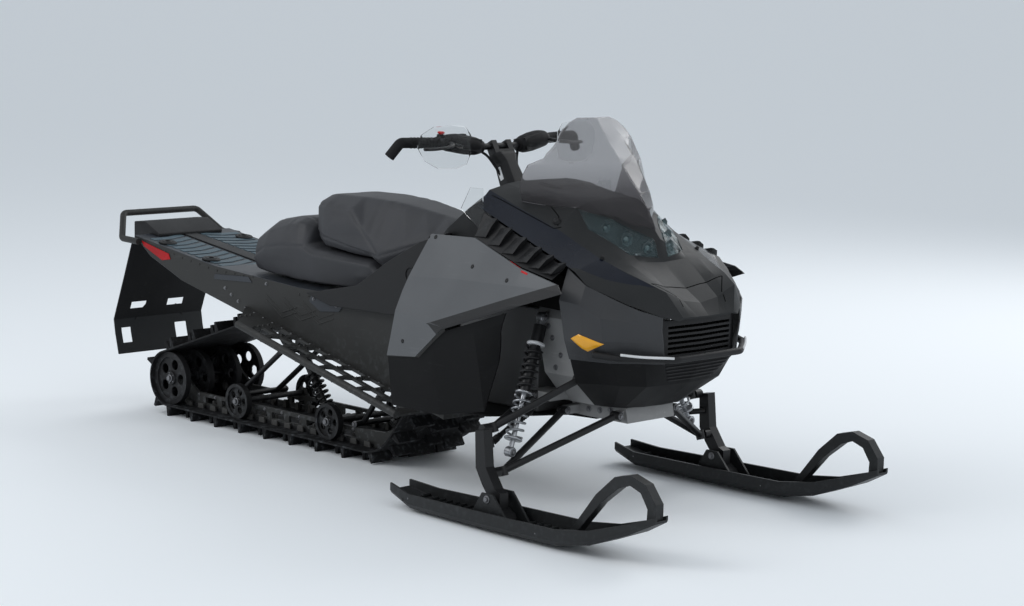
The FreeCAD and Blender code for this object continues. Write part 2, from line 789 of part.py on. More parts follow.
def cheeks():
    right = side_skin("cheek_skin", cheek_shares, s.panel_wall)
    sunk = Placement(Vector(0, 0, -float(s.panel_gap)), Rotation())
    right.Placement = sunk
    right.setExpression("Placement.Base.z", (-s.panel_gap).text)
    both_sides("nose_cheek", right)


grille_curve_shares = ((0.988, 0.0), (0.981, 0.36), (0.97, 0.44))
grille_top_share = 0.644


def grille():
    """Curved front grille with level slats between open slots."""
    body = new_body("grille")
    low = s.body_tall * nose_pan_shares[0][0] + s.seat_gap
    high = s.body_tall * grille_top_share
    front = [(s.body_long * x, s.body_half * y) for x, y in grille_curve_shares]
    outline = [(x, -y) for x, y in reversed(front[1:])] + front
    outline += [(x - s.panel_wall * 2, y) for x, y in reversed(front)]
    outline += [(x - s.panel_wall * 2, -y) for x, y in front[1:]]
    pad(body, add_polygon(new_sketch(body, "XY_Plane", low), outline), high - low)
    slot = new_sketch(body, "YZ_Plane", s.body_long * 0.9)
    half = s.grille_half * 0.86
    foot = low + s.grille_pitch * 1.5
    add_polygon(slot, [(-half, foot), (half, foot), (half, foot + s.grille_slat), (-half, foot + s.grille_slat)])
    cut = pocket(body, slot, s.body_long * 0.2, flip=True)
    repeat(body, cut, slot, "V_Axis", s.grille_pitch * 5, 6)
    keep("grille", body)


# Nose pan levels from the bumper line down: height, then distance forward and half width from the centre out
nose_pan_shares = (
    (0.513, ((0.990, 0), (0.984, 0.40), (0.954, 0.512), (0.895, 0.70), (0.845, 0.756), (0.79, 0.796))),
    (0.436, ((0.952, 0), (0.944, 0.25), (0.935, 0.42), (0.885, 0.55), (0.84, 0.61), (0.79, 0.725))),
    (0.352, ((0.872, 0), (0.864, 0.20), (0.842, 0.35), (0.82, 0.40), (0.80, 0.42), (0.772, 0.45))),
)


def nose_pan():
    """Bowl under the nose, open behind."""
    body = new_body("nose_pan")
    sections = []
    for height, half in nose_pan_shares:
        outer = [(s.body_long * x, s.body_half * y) for x, y in half]
        inner = [(x - s.panel_wall, y - (s.panel_wall if share else 0)) for (x, y), (_, share) in zip(outer, half)]
        inner[-1] = (outer[-1][0], outer[-1][1] - s.panel_wall)
        outline = ([(x, -y) for x, y in reversed(outer[1:])] + outer + list(reversed(inner))
                   + [(x, -y) for x, y in inner[1:]])
        sections.append(add_polygon(new_sketch(body, "XY_Plane", s.body_tall * height), outline))
    loft(body, sections)
    keep("nose_pan", body)


# Floor corners: beside the engine in shares of the bodywork, then under the bulkhead in shares of that
floor_side_shares = ((0.382, 0.9465), (0.524, 0.865))
floor_front_shares = ((-0.008, 0.974), (0.183, 0.522), (0.533, 0.435))
floor_rear_share = 0.97


def floor_pan():
    """Flat floor under the engine, from the tunnel's front to the suspension's foot."""
    half = [(s.tunnel_front + s.seat_gap * 2, s.body_half * floor_rear_share)]
    half += [(s.body_long * x, s.body_half * y) for x, y in floor_side_shares]
    half += [(s.bulkhead_rear + s.bulkhead_long * x, s.bulkhead_half * y) for x, y in floor_front_shares]
    outline = [(x, -y) for x, y in half] + list(reversed(half))
    body = prism("floor_pan", outline, "XY_Plane", s.floor_z, s.floor_z + s.floor_thick)
    keep("floor_pan", body)


# Upper side panel stations from the top edge down
panel_shares = (
    (0.20, ((0.81, 0.860), (0.955, 0.70), (1.03, 0.60), (1.055, 0.43))),
    (0.432, ((0.815, 0.870), (1.0, 0.72), (1.10, 0.57), (1.10, 0.43))),
    (0.672, ((0.955, 0.81), (1.05, 0.73), (1.10, 0.668), (1.10, 0.55))),
    (0.845, ((0.985, 0.78), (1.06, 0.735), (1.075, 0.715), (1.075, 0.64))),
)
panel_outline_shares = ((0.299, 0.842), (0.466, 0.849), (0.669, 0.783), (0.814, 0.751), (0.838, 0.728),
                        (0.429, 0.560), (0.329, 0.458), (0.213, 0.444), (0.25, 0.660))
lower_panel_shares = (
    (0.20, ((1.07, 0.66), (1.05, 0.45), (1.005, 0.30), (0.995, 0.26))),
    (0.384, ((1.07, 0.66), (1.06, 0.52), (1.0, 0.38), (0.945, 0.26))),
    (0.528, ((1.07, 0.68), (1.03, 0.56), (0.96, 0.43), (0.89, 0.28))),
    (0.65, ((1.07, 0.70), (0.98, 0.62), (0.77, 0.54), (0.70, 0.40))),
)
lower_outline_shares = ((0.2144, 0.440), (0.329, 0.454), (0.43, 0.555), (0.634, 0.640), (0.601, 0.574),
                        (0.527, 0.308), (0.382, 0.274), (0.214, 0.279))


def side_panels():
    """Faceted grey panel over a black lower one, each cut from its skin by a side outline."""
    for name, rows, outline in (("side_panel", panel_shares, panel_outline_shares),
                                ("lower_panel", lower_panel_shares, lower_outline_shares)):
        shell = side_skin(f"{name}_skin", rows, s.panel_wall)
        cutter = prism(f"{name}_outline", side_outline(outline), "XZ_Plane", 0, s.body_half * 1.5)
        both_sides(name, combine("Common", name, shell, cutter))


# Louvre strip stations: hood side, then panel side
louvre_shares = (
    (0.46, (0.735, 0.925), (0.835, 0.8495)),
    (0.669, (0.80, 0.838), (0.955, 0.7836)),
    (0.776, (0.835, 0.792), (0.975, 0.760)),
)
# Places across the strip, each with the blade's lead in its pitch and its height
blade_places_shares = ((0.07, 0.30, 0.75), (0.45, 0.12, 1.0), (0.84, -0.34, 0.5))
blade_long_share = 0.74


def strip_point(along, across):
    """A point of the right-hand strip's surface and the direction out of it."""
    near, far = (0, 1) if along < 0.6 else (1, 2)
    share = along / 0.6 if along < 0.6 else (along - 0.6) / 0.4
    ends = []
    for side in (1, 2):
        first, last = louvre_shares[near], louvre_shares[far]
        ends.append(Vector(float(s.body_long) * (first[0] + (last[0] - first[0]) * share),
                           -float(s.body_half) * (first[side][0] + (last[side][0] - first[side][0]) * share),
                           float(s.body_tall) * (first[side][1] + (last[side][1] - first[side][1]) * share)))
    out = Vector(0, ends[1].z - ends[0].z, ends[0].y - ends[1].y).normalize()
    return between(ends[0], ends[1], across), out


def louvres():
    """Vent strips beside the hood, each with a row of overlapping hooked blades."""
    rows = [(station, (inner, outer)) for station, inner, outer in louvre_shares]
    count = int(float(s.blade_count))
    shapes = [side_skin("louvre_strip", rows, s.panel_wall)]
    shapes += [blade(f"blade_{index}", (index + 0.5) / count) for index in range(count)]
    right = fuse("louvre_right", shapes)
    keep("louvres", together("louvres", [right, mirrored("louvre_left", right)]))


def blade(name, along):
    """One blade: low behind, with a raised lip in front, swept back towards the panel's side."""
    pitch = float(s.body_long) * (louvre_shares[-1][0] - louvre_shares[0][0]) / float(s.blade_count)
    half = pitch * blade_long_share / 2
    wires = []
    for across, lead, rise in blade_places_shares:
        centre, out = strip_point(along, across)
        rear = centre + Vector(pitch * lead * 0.5 - half, 0, 0) - out * float(s.panel_wall) * 0.4
        front = rear + Vector(half * 2, 0, 0)
        tip = out * float(s.blade_tall) * rise
        corners = [rear, front, front + tip + Vector(half * 0.3, 0, 0), front + tip - Vector(half * 0.2, 0, 0),
                   rear + out * float(s.blade_rear_tall)]
        wires.append(Part.makePolygon(corners + corners[:1]))
    return own_shape(name, Part.makeLoft(wires, True, True))


bumper_shares = ((0.87, 0.808, 0.540), (0.93, 0.718, 0.534), (0.965, 0.580, 0.532), (1.014, 0.37, 0.530),
                 (1.032, 0.0, 0.530))


def front_bumper():
    """Round bar around the nose."""
    half = [vector(s.body_long * x, -s.body_half * y, s.body_tall * z) for x, y, z in bumper_shares]
    points = half[:-1] + [Vector(p.x, -p.y, p.z) for p in reversed(half[:-1])]
    keep("front_bumper", own_shape("front_bumper", tube(points, s.bumper_radius, s.bumper_radius * 4)))


# Console stations: distance forward, then foot, hip and head as half width in the tunnel's and height
console_shares = (
    (0.1892, ((0.667, 0.645), (0.79, 0.79), (0.267, 0.826))),
    (0.264, ((0.844, 0.650), (0.9955, 0.850), (0.427, 0.918))),
    (0.352, ((0.889, 0.660), (1.031, 0.925), (0.578, 0.980))),
    (0.4304, ((0.889, 0.700), (1.04, 0.975), (0.667, 1.003))),
)


def console():
    """Cover between seat and hood, bored for the steering post."""
    body = new_body("console_block")
    sections = []
    for station, half in console_shares:
        side = [(s.tunnel_half * y, s.body_tall * z) for y, z in half]
        sections.append(add_polygon(new_sketch(body, "YZ_Plane", s.body_long * station),
                                    side + [(-y, z) for y, z in reversed(side)]))
    loft(body, sections)
    bore = new_body("post_bore")
    ring = new_sketch(bore, "XY_Plane", -s.post_below - s.moving_gap)
    add_circle(ring, 0, 0, s.post_radius + s.seat_gap)
    pad(bore, ring, s.body_tall * 0.3)
    on_post(bore)
    keep("console", combine("Cut", "console", body, bore))


fairing_outline_shares = ((-0.278, 0.568), (-0.175, 0.537), (0.245, 0.545), (0.245, 0.66), (0.288, 0.838),
                          (0.189, 0.800), (0.059, 0.716), (-0.062, 0.622))


def side_fairings():
    """Flat covers beside the seat's foot, each with a round opening."""
    body = new_body("fairing_right")
    pad(body, add_polygon(new_sketch(body, "XZ_Plane", s.tunnel_half + s.seat_gap), side_outline(
        fairing_outline_shares)), s.fairing_thick)
    hole = add_circle(new_sketch(body, "XZ_Plane", s.tunnel_half), s.body_long * 0.156, s.body_tall * 0.686,
                      s.fairing_hole_radius)
    pocket(body, hole, s.fairing_thick * 2, both=True)
    keep("side_fairings", together("side_fairings", [body, mirrored("fairing_left", body)]))


deflector_shares = ((0.376, 0.93), (0.44, 0.876), (0.457, 0.93), (0.455, 1.0), (0.41, 1.0))


def side_deflectors():
    """Clear wind deflectors at the hood's rear corners."""
    start = s.body_half * 0.733 + s.seat_gap
    right = prism("deflector_right", side_outline(deflector_shares), "XZ_Plane", start, start + s.shield_wall)
    keep("side_deflectors", together("side_deflectors", [right, mirrored("deflector_left", right)]))


# Heavy masses: engine block and suspension bulkhead

def engine():
    half = s.engine_half
    front = s.upper_rear_x - s.arm_radius * bush_share - s.moving_gap
    outline = [(s.engine_rear, -half), (front, -half), (front, half), (s.engine_rear, half)]
    keep("engine", prism("engine", outline, "XY_Plane", s.floor_z + s.floor_thick + s.seat_gap, s.engine_top_z))


# Bulkhead levels: height, rear, front and half width
bulkhead_shares = ((0.0, 0.2, 1.0, 0.47), (0.136, 0.2, 0.97, 0.47), (0.1375, 0.2, 0.717, 0.626),
                   (0.418, 0.183, 0.717, 1.0), (0.9185, 0.008, 0.533, 0.971), (1.0, 0.0, 0.492, 0.87))
bush_share = 1.2
lug_reach_share = 0.38


def bulkhead():
    """Cast box that carries both arms' pivots, drawn in at its foot and head."""
    body = new_body("bulkhead")
    sections = []
    base = s.floor_z + s.floor_thick + s.seat_gap
    for height, rear, front, half in bulkhead_shares:
        x_rear, x_front = s.bulkhead_rear + s.bulkhead_long * rear, s.bulkhead_rear + s.bulkhead_long * front
        y = s.bulkhead_half * half
        sections.append(add_polygon(new_sketch(body, "XY_Plane", base + s.bulkhead_tall * height),
                                    [(x_rear, -y), (x_front, -y), (x_front, y), (x_rear, y)]))
    loft(body, sections)
    shapes = [body]
    for level in ("upper", "lower"):
        for end in ("rear", "front"):
            for side in (-1, 1):
                shapes.append(pivot_lug(f"{level}_{end}", side))
    keep("bulkhead", fuse("bulkhead", shapes))


def pivot_lug(name, side):
    """Lug that reaches from the bulkhead to an arm's bush and cups its inner half."""
    centre = joint_point(name, side)
    bush = float(s.arm_radius) * bush_share
    wide, reach = bush * 2, float(s.bulkhead_half) * lug_reach_share
    core_rear = float(s.bulkhead_rear + s.bulkhead_long * bulkhead_shares[0][1]) + wide
    start = centre.x - wide / 2
    long = max(wide, core_rear - start)
    lug = Part.makeBox(long, reach, wide, Vector(start, centre.y if side < 0 else centre.y - reach,
                                                 centre.z - wide / 2))
    hole = Part.makeCylinder(bush + float(s.seat_gap), wide * 2, centre - Vector(wide, 0, 0), Vector(1, 0, 0))
    return own_shape("pivot_lug", lug.cut(hole))


# Front suspension: two arms a side, shock and coil spring

def joint_point(name, side=-1):
    """One of the named points of the front end, on the right side by default."""
    return Vector(float(getattr(s, f"{name}_x")), side * float(getattr(s, f"{name}_y")),
                  float(getattr(s, f"{name}_z")))


def ball_point(name):
    return Vector(float(getattr(s, f"{name}_x")), -float(s.kingpin_y), float(getattr(s, f"{name}_z")))


def front_arms():
    """Upper and lower A-arms, each a ball housing with two tubes to bushes along the bulkhead."""
    arms = []
    radius, reach = float(s.ball_radius), float(s.arm_radius) * 1.6
    up = (ball_point("upper_ball") - ball_point("lower_ball")).normalize() * radius
    for level in ("upper", "lower"):
        outer = ball_point(f"{level}_ball")
        shapes = [rod(outer - up, outer + up, radius)]
        for end in ("rear", "front"):
            inner = joint_point(f"{level}_{end}")
            shapes.append(rod(outer, inner, s.arm_radius))
            shapes.append(rod(inner - Vector(reach, 0, 0), inner + Vector(reach, 0, 0),
                              s.arm_radius * bush_share))
        arms.append(own_shape(f"{level}_arm", united(shapes)))
    both_sides("front_arms", together("front_arms", arms))


# Along a damper: end of its body, its upper perch and its lower perch
damper_shares = (0.52, 0.36, 0.9)


def coil_damper(name, top, foot, eyes):
    """Damper between two eyes, with two perches and a coil spring around it."""
    body_end, *perches = damper_shares
    line = (foot - top).normalize()
    wall, wire, gap = float(s.panel_wall), float(s.spring_wire), float(s.seat_gap)
    shapes = eyes + [rod(top, between(top, foot, body_end), s.shock_body_radius * 0.8),
                     rod(top, foot, s.shock_rod_radius)]
    starts = [between(top, foot, share) for share in perches]
    shapes += [rod(start, start + line * wall, s.spring_radius + s.spring_wire) for start in starts]
    low = starts[0] + line * (wall + wire + gap)
    tall = (starts[1] - low).Length - wire - gap
    coil = Part.makeHelix(tall / float(s.spring_turns), tall, float(s.spring_radius))
    ring = Part.Wire(Part.makeCircle(wire, Vector(float(s.spring_radius), 0, 0), Vector(0, 1, 0)))
    spring = Part.Wire(coil).makePipeShell([ring], True, True)
    spring.Placement = Placement(low, Rotation(Vector(0, 0, 1), line))
    return united(shapes), own_shape(f"{name}_spring", spring)


def front_shock():
    top, foot = joint_point("shock_top"), joint_point("shock_foot")
    damper, spring = coil_damper("front", top, foot, [ball(end, s.shock_eye_radius) for end in (top, foot)])
    both_sides("front_shock", together("front_shock", [own_shape("front_damper", damper), spring]))


# Spindles, tie rods and skis

spindle_shares = ((-0.98, 1.0), (-0.55, 1.03), (-0.42, 0.45), (0.06, 0.14), (0.32, 0.09), (0.32, -0.16),
                  (0.02, -0.16), (-0.60, 0.18), (-0.92, 0.42))


def spindle():
    """Leg from the upper ball to the ski bolt, with bosses for both balls and a steering arm."""
    body = new_body("spindle_leg")
    run = s.ski_bolt_x - s.upper_ball_x
    rise = s.upper_ball_z - s.ski_bolt_z
    outline = [(s.ski_bolt_x + run * u, s.ski_bolt_z + rise * v) for u, v in spindle_shares]
    near = s.spindle_y - s.spindle_wide / 2
    pad(body, add_polygon(new_sketch(body, "XZ_Plane", near), outline), s.spindle_wide)
    hole = add_circle(new_sketch(body, "XZ_Plane", near), s.ski_bolt_x, s.ski_bolt_z,
                      s.ski_bolt_radius + s.seat_gap)
    pocket(body, hole, s.spindle_wide * 3, both=True)
    shapes = [body]
    socket = s.kingpin_y + s.ball_radius + s.seat_gap
    for level in ("upper_ball", "lower_ball"):
        centre = ball_point(level)
        start = Vector(centre.x, -float(socket), centre.z)
        shapes.append(own_shape(f"{level}_boss", rod(start, start - Vector(0, float(near - socket + s.panel_wall), 0),
                                                     s.ball_radius)))
    tie = joint_point("tie_ball")
    root = vector(s.ski_bolt_x - run * 0.7, -near - s.panel_wall / 2, s.tie_ball_z + s.tie_ball_radius)
    arm = rod(root, tie, s.tie_radius * 1.2).cut(tie_pin(s.tie_ball_radius + s.seat_gap))
    shapes.append(own_shape("steering_arm", arm))
    return both_sides("spindle", fuse("spindle", shapes))


def tie_pin(radius):
    """Round pin at the tie rod's outer end, along the line that the spindle turns on."""
    up = (ball_point("upper_ball") - ball_point("lower_ball")).normalize() * float(radius)
    return rod(joint_point("tie_ball") - up, joint_point("tie_ball") + up, radius)


def tie_rod():
    outer = joint_point("tie_ball")
    inner = Vector(outer.x, -float(s.tie_inner_y), float(s.tie_inner_z))
    both_sides("tie_rod", own_shape("tie_rod", united([tie_pin(s.tie_ball_radius), rod(outer, inner, s.tie_radius)])))


# Ski stations: distance from the tail, then half width, keel, deck and wall heights
ski_shares = (
    (0.0, 0.56, 0.28, 0.36, 0.50),
    (0.10, 0.85, 0.09, 0.17, 0.40),
    (0.40, 0.98, 0.08, 0.16, 0.42),
    (0.68, 1.0, 0.10, 0.18, 0.44),
    (0.80, 0.92, 0.26, 0.34, 0.56),
    (0.92, 0.66, 0.60, 0.68, 0.82),
    (1.0, 0.34, 0.90, 0.95, 1.03),
)
handle_outer_shares = ((0.992, 0.90), (0.992, 1.25), (0.955, 1.60), (0.90, 1.72), (0.845, 1.62), (0.78, 1.20),
                       (0.665, 0.14))
handle_inner_shares = ((0.69, 0.16), (0.798, 1.05), (0.862, 1.42), (0.90, 1.52), (0.938, 1.42), (0.963, 1.14),
                       (0.961, 0.84))


def ski():
    """Moulded channel ski with keel, bolt saddle, cross ribs and a strap handle from its tip."""
    body = new_body("ski_channel")
    sections = []
    for along, half, keel, deck, wall in ski_shares:
        y = s.ski_half * half
        low, mid, high = s.ski_tall * keel, s.ski_tall * deck, s.ski_tall * wall
        side = [(y * 0.86, low), (y, low + (high - low) * 0.3), (y, high), (y - s.ski_wall, high),
                (y - s.ski_wall, mid)]
        outline = side + [(-v, z) for v, z in reversed(side)]
        outline = [(v - s.spindle_y, z) for v, z in outline]
        sections.append(add_polygon(new_sketch(body, "YZ_Plane", s.ski_rear + s.ski_long * along), outline))
    loft(body, sections)
    keel = add_polygon(new_sketch(body, "XZ_Plane", s.spindle_y - s.keel_wide / 2),
                       [(s.keel_rear, s.keel_tall * 0.5), (s.keel_rear + s.keel_tall * 2, 0),
                        (s.keel_rear + s.keel_long - s.keel_tall * 4, 0), (s.keel_rear + s.keel_long, s.keel_tall),
                        (s.keel_rear + s.keel_long, s.keel_tall * 1.8), (s.keel_rear, s.keel_tall * 1.8)])
    pad(body, keel, s.keel_wide)
    deck_z = s.ski_tall * 0.15
    for sign in (-1, 1):
        near = s.spindle_y + s.saddle_half * sign - (s.saddle_wall if sign < 0 else 0)
        wall = add_polygon(new_sketch(body, "XZ_Plane", near),
                           [(s.ski_bolt_x - s.ski_half, deck_z), (s.ski_bolt_x + s.ski_half * 1.3, deck_z),
                            (s.ski_bolt_x + s.ski_half * 0.3, s.ski_bolt_z + s.ski_bolt_radius * 2.2),
                            (s.ski_bolt_x - s.ski_half * 0.3, s.ski_bolt_z + s.ski_bolt_radius * 2.2)])
        pad(body, wall, s.saddle_wall)
    bolt = add_circle(new_sketch(body, "XZ_Plane", s.spindle_y - s.saddle_half - s.saddle_wall), s.ski_bolt_x,
                      s.ski_bolt_z, s.ski_bolt_radius)
    pad(body, bolt, (s.saddle_half + s.saddle_wall) * 2)
    base = [(s.ski_rear + s.ski_long * u, s.ski_tall * v) for u, v in handle_outer_shares + handle_inner_shares]
    strap = add_polygon(new_sketch(body, "XZ_Plane", s.spindle_y - s.handle_wide / 2), base)
    pad(body, strap, s.handle_wide)
    both_sides("ski", body)


# Track: one closed belt around its wheels, with three paddles on every pitch

def belt_circles():
    """Centre and radius of each circle that carries the belt's inner face, in belt order."""
    under = float(s.lug_tall + s.belt_thick)
    curve = float(s.rail_curve_radius)
    return [(-float(s.rear_wheel_x), under + float(s.rear_wheel_radius), float(s.rear_wheel_radius)),
            (-float(s.rail_curve_x), under + curve, curve),
            (float(s.driver_x), float(s.driver_z), float(s.driver_radius)),
            (-float(s.carrier_x), float(s.carrier_z), float(s.carrier_radius))]


def loop_pieces(offset):
    """Straight runs and arcs of the belt line at a distance outside its inner face, running forward below."""
    circles = [(x, z, radius + offset) for x, z, radius in belt_circles()]
    touches = []
    for (x1, z1, r1), (x2, z2, r2) in zip(circles, circles[1:] + circles[:1]):
        reach = math.hypot(x2 - x1, z2 - z1)
        along = math.atan2(z2 - z1, x2 - x1)
        normal = along - math.pi / 2 - math.asin((r2 - r1) / reach)
        touches.append(((x1 + r1 * math.cos(normal), z1 + r1 * math.sin(normal)),
                        (x2 + r2 * math.cos(normal), z2 + r2 * math.sin(normal)), normal))
    return circles, touches


def belt_edges(offset):
    circles, touches = loop_pieces(offset)
    edges = []
    for index, (start, end, normal) in enumerate(touches):
        edges.append(Part.LineSegment(Vector(start[0], 0, start[1]), Vector(end[0], 0, end[1])).toShape())
        x, z, radius = circles[(index + 1) % len(circles)]
        turn = (touches[(index + 1) % len(touches)][2] - normal) % (2 * math.pi)
        middle = normal + turn / 2
        after = touches[(index + 1) % len(touches)][0]
        edges.append(Part.Arc(Vector(end[0], 0, end[1]),
                              Vector(x + radius * math.cos(middle), 0, z + radius * math.sin(middle)),
                              Vector(after[0], 0, after[1])).toShape())
    return edges


# Paddles across one pitch: side to side in shares of the half width, and lead in shares of the pitch
paddle_rows_shares = (((-0.97, -0.52, 0.0), (-0.30, 0.30, 0.5), (0.52, 0.97, 0.0)),
                      ((-0.80, -0.36, 0.0), (-0.16, 0.16, 0.5), (0.36, 0.80, 0.0)))


def track():
    belt = Part.Face(Part.Wire(belt_edges(float(s.belt_thick)))).cut(Part.Face(Part.Wire(belt_edges(0))))
    half = float(s.track_half)
    belt.translate(Vector(0, -half, 0))
    belt = belt.extrude(Vector(0, half * 2, 0))
    line = Part.Wire(belt_edges(float(s.belt_thick)))
    count = int(round(line.Length / float(s.lug_pitch)))
    spots = line.discretize(Number=count * 2 + 1)
    sink, tall, thick = float(s.belt_thick) / 2, float(s.lug_tall), float(s.lug_thick)
    shapes = [belt]
    for index in range(count):
        for low, high, lead in paddle_rows_shares[index % 2]:
            step = (index * 2 + int(lead * 2)) % (count * 2)
            spot = spots[step]
            run = (spots[step + 1] - spot).normalize() if step + 1 < len(spots) else Vector(1, 0, 0)
            out = Vector(run.z, 0, -run.x)
            foot = spot - out * sink
            corners = [foot - run * thick, foot + run * thick, spot + out * tall + run * thick * 0.4,
                       spot + out * tall - run * thick * 0.4]
            wire = Part.makePolygon([Vector(p.x, half * low, p.z) for p in corners + corners[:1]])
            shapes.append(Part.Face(wire).extrude(Vector(0, half * (high - low), 0)))
    keep("track", own_shape("track", shapes[0].multiFuse(shapes[1:])))


def wheel(x, z, y, radius, wide):
    """A road wheel with a web, hub and five openings, on a lateral axle."""
    centre = Vector(x, y - wide / 2, z)
    along = Vector(0, wide, 0)
    rim = Part.makeCylinder(radius, wide, centre, along).cut(Part.makeCylinder(radius * 0.8, wide, centre, along))
    web = Part.makeCylinder(radius * 0.82, wide * 0.3, centre + along * 0.35, along)
    for index in range(5):
        turn = 2 * math.pi * index / 5
        spot = centre + Vector(math.cos(turn), 0, math.sin(turn)) * radius * 0.53
        web = web.cut(Part.makeCylinder(radius * 0.19, wide, spot, along))
    hub = Part.makeCylinder(radius * 0.26, wide, centre, along)
    return united([rim, web, hub])


rear_bogie_share = 0.68
front_bogie_share = 3.2


def running_gear():
    """Rear wheels, carrier and bogie wheels, driver and axles."""
    under = float(s.lug_tall + s.belt_thick)
    gap, wide, axle = float(s.seat_gap), float(s.wheel_wide), float(s.axle_radius)
    rail = float(s.rail_y)
    radius = float(s.rear_wheel_radius)
    x, z = -float(s.rear_wheel_x), under + radius
    wheels = [wheel(x, z, y, radius - gap, wide) for y in (-rail * 1.36, -rail * 0.5, rail * 0.5, rail * 1.36)]
    reach = float(s.tunnel_half) * 0.84
    wheels.append(Part.makeCylinder(axle, reach * 2, Vector(x, -reach, z), Vector(0, 1, 0)))
    keep("rear_wheels", own_shape("rear_wheels", united(wheels)))
    radius = float(s.bogie_radius)
    sets = []
    for x in (-float(s.rear_wheel_x) * rear_bogie_share, -float(s.rail_curve_x) * front_bogie_share):
        z = under + radius
        group = [wheel(x, z, y, radius - gap, wide) for y in (-rail * 1.3, rail * 1.3)]
        group.append(Part.makeCylinder(axle, rail * 2.6, Vector(x, -rail * 1.3, z), Vector(0, 1, 0)))
        sets.append(united(group))
    x, z, radius = -float(s.carrier_x), float(s.carrier_z), float(s.carrier_radius)
    group = [wheel(x, z, y, radius - gap, wide) for y in (-rail * 0.9, rail * 0.9)]
    group.append(Part.makeCylinder(axle, rail * 2.6, Vector(x, -rail * 1.3, z), Vector(0, 1, 0)))
    sets.append(united(group))
    keep("bogie_wheels", together("bogie_wheels", [own_shape("wheel_set", shape) for shape in sets]))
    x, z, radius = float(s.driver_x), float(s.driver_z), float(s.driver_radius)
    reach = float(s.tunnel_half - s.sheet_wall) - gap
    group = [Part.makeCylinder(radius - gap, wide, Vector(x, y - wide / 2, z), Vector(0, 1, 0))
             for y in (-rail * 0.6, rail * 0.6)]
    group.append(Part.makeCylinder(axle * 1.5, reach * 2, Vector(x, -reach, z), Vector(0, 1, 0)))
    keep("drive_axle", own_shape("drive_axle", united(group)))


def slide_rails():
    """Two long rails with windows and upswept fronts."""
    under = s.lug_tall + s.belt_thick + s.seat_gap
    top = under + s.rail_tall
    curve = s.rail_curve_radius
    x = -s.rail_curve_x
    outline = [(-s.rear_wheel_x - s.axle_radius * 2, top), (-s.rear_wheel_x + s.rear_wheel_radius * 0.3, under),
               (x, under), (x + curve * 0.35, under + curve * 0.066), (x + curve * 0.6, under + curve * 0.21),
               (x + curve * 0.68, under + curve * 0.29), (x + curve * 0.6, under + curve * 0.5),
               (x + curve * 0.2, top + curve * 0.02), (x - curve * 0.5, top),
               (-s.rear_wheel_x + s.rear_wheel_radius, top),
               (-s.rear_wheel_x + s.axle_radius, top + s.rear_wheel_radius * 0.6),
               (-s.rear_wheel_x - s.axle_radius * 2, top + s.rear_wheel_radius * 0.6)]
    body = new_body("rail_right")
    pad(body, add_polygon(new_sketch(body, "XZ_Plane", s.rail_y - s.rail_thick / 2), outline), s.rail_thick)
    slot = new_sketch(body, "XZ_Plane", s.rail_y)
    start = -s.rear_wheel_x + s.rear_wheel_radius * 1.5
    long, low = s.rail_tall * 1.3, under + s.rail_tall * 0.35
    add_polygon(slot, [(start, low), (start + long, low), (start + long * 0.9, low + s.rail_tall * 0.4),
                       (start, low + s.rail_tall * 0.4)])
    cut = pocket(body, slot, s.rail_thick * 4, both=True)
    repeat(body, cut, slot, "H_Axis", s.rail_tall * 14, 9)
    axle = add_circle(new_sketch(body, "XZ_Plane", s.rail_y), -s.rear_wheel_x,
                      s.lug_tall + s.belt_thick + s.rear_wheel_radius, s.axle_radius + s.seat_gap)
    pocket(body, axle, s.rail_thick * 4, both=True)
    for x in (-s.rear_wheel_x * rear_bogie_share, -s.rail_curve_x * front_bogie_share):
        spot = add_circle(new_sketch(body, "XZ_Plane", s.rail_y), x,
                          s.lug_tall + s.belt_thick + s.bogie_radius, s.axle_radius + s.seat_gap)
        pocket(body, spot, s.rail_thick * 4, both=True)
    keep("slide_rails", together("slide_rails", [body, mirrored("rail_left", body)]))


def track_suspension():
    """Two swing arms and two cross tubes between the rails, with a coil-sprung damper for each arm."""
    radius, gap = float(s.axle_radius), float(s.seat_gap)
    rail = float(s.rail_y)
    within = rail - float(s.rail_thick) / 2 - gap
    top = float(s.lug_tall + s.belt_thick + s.rail_tall)
    rear, curve = -float(s.rear_wheel_x), -float(s.rail_curve_x)
    beam = rail * 0.74
    arms, dampers = [], []
    for name, foot_x, head, reach, mid_x in (
            ("rear", rear * 0.76, Vector(rear * 0.55, 0, float(s.carrier_z) * 0.78), rail * 0.82, rear * 0.4053),
            ("front", curve * 2.2, Vector(curve * 0.1, 0, float(s.driver_z) * 0.95),
             float(s.tunnel_half - s.sheet_wall) - gap, curve * 1.6)):
        foot = Vector(foot_x, 0, top + radius + gap)
        low = Vector(mid_x, 0, top - float(s.rail_tall) / 2)
        shapes = [across(foot, rail * 1.04, radius), across(head, reach, radius)]
        shapes += [rod(foot + Vector(0, y, 0), head + Vector(0, y, 0), radius) for y in (-beam, beam)]
        arms += [own_shape(f"{name}_arm", united(shapes)), own_shape(f"{name}_tube", across(low, within, radius))]
        eye = float(s.shock_eye_radius)
        damper, spring = coil_damper(name, head, low, [across(end, eye, eye) for end in (head, low)])
        for end in (head, low):
            damper = damper.cut(across(end, eye * 2, radius + gap))
        dampers += [own_shape(f"{name}_damper", damper), spring]
    keep("suspension_arms", together("suspension_arms", arms))
    keep("rear_shocks", together("rear_shocks", dampers))


def across(centre, reach, radius):
    """A round bar across the machine."""
    side = Vector(0, reach, 0)
    return rod(centre - side, centre + side, radius)


# Steering: post, bar, grips, switch housings and guards

pivot_shares = (0.376, 0.87)
clamp_shares = (0.2696, 1.11)


def post_point(shares):
    """Distance forward and height of a point on the steering post's line."""
    return s.body_long * shares[0], s.body_tall * shares[1]


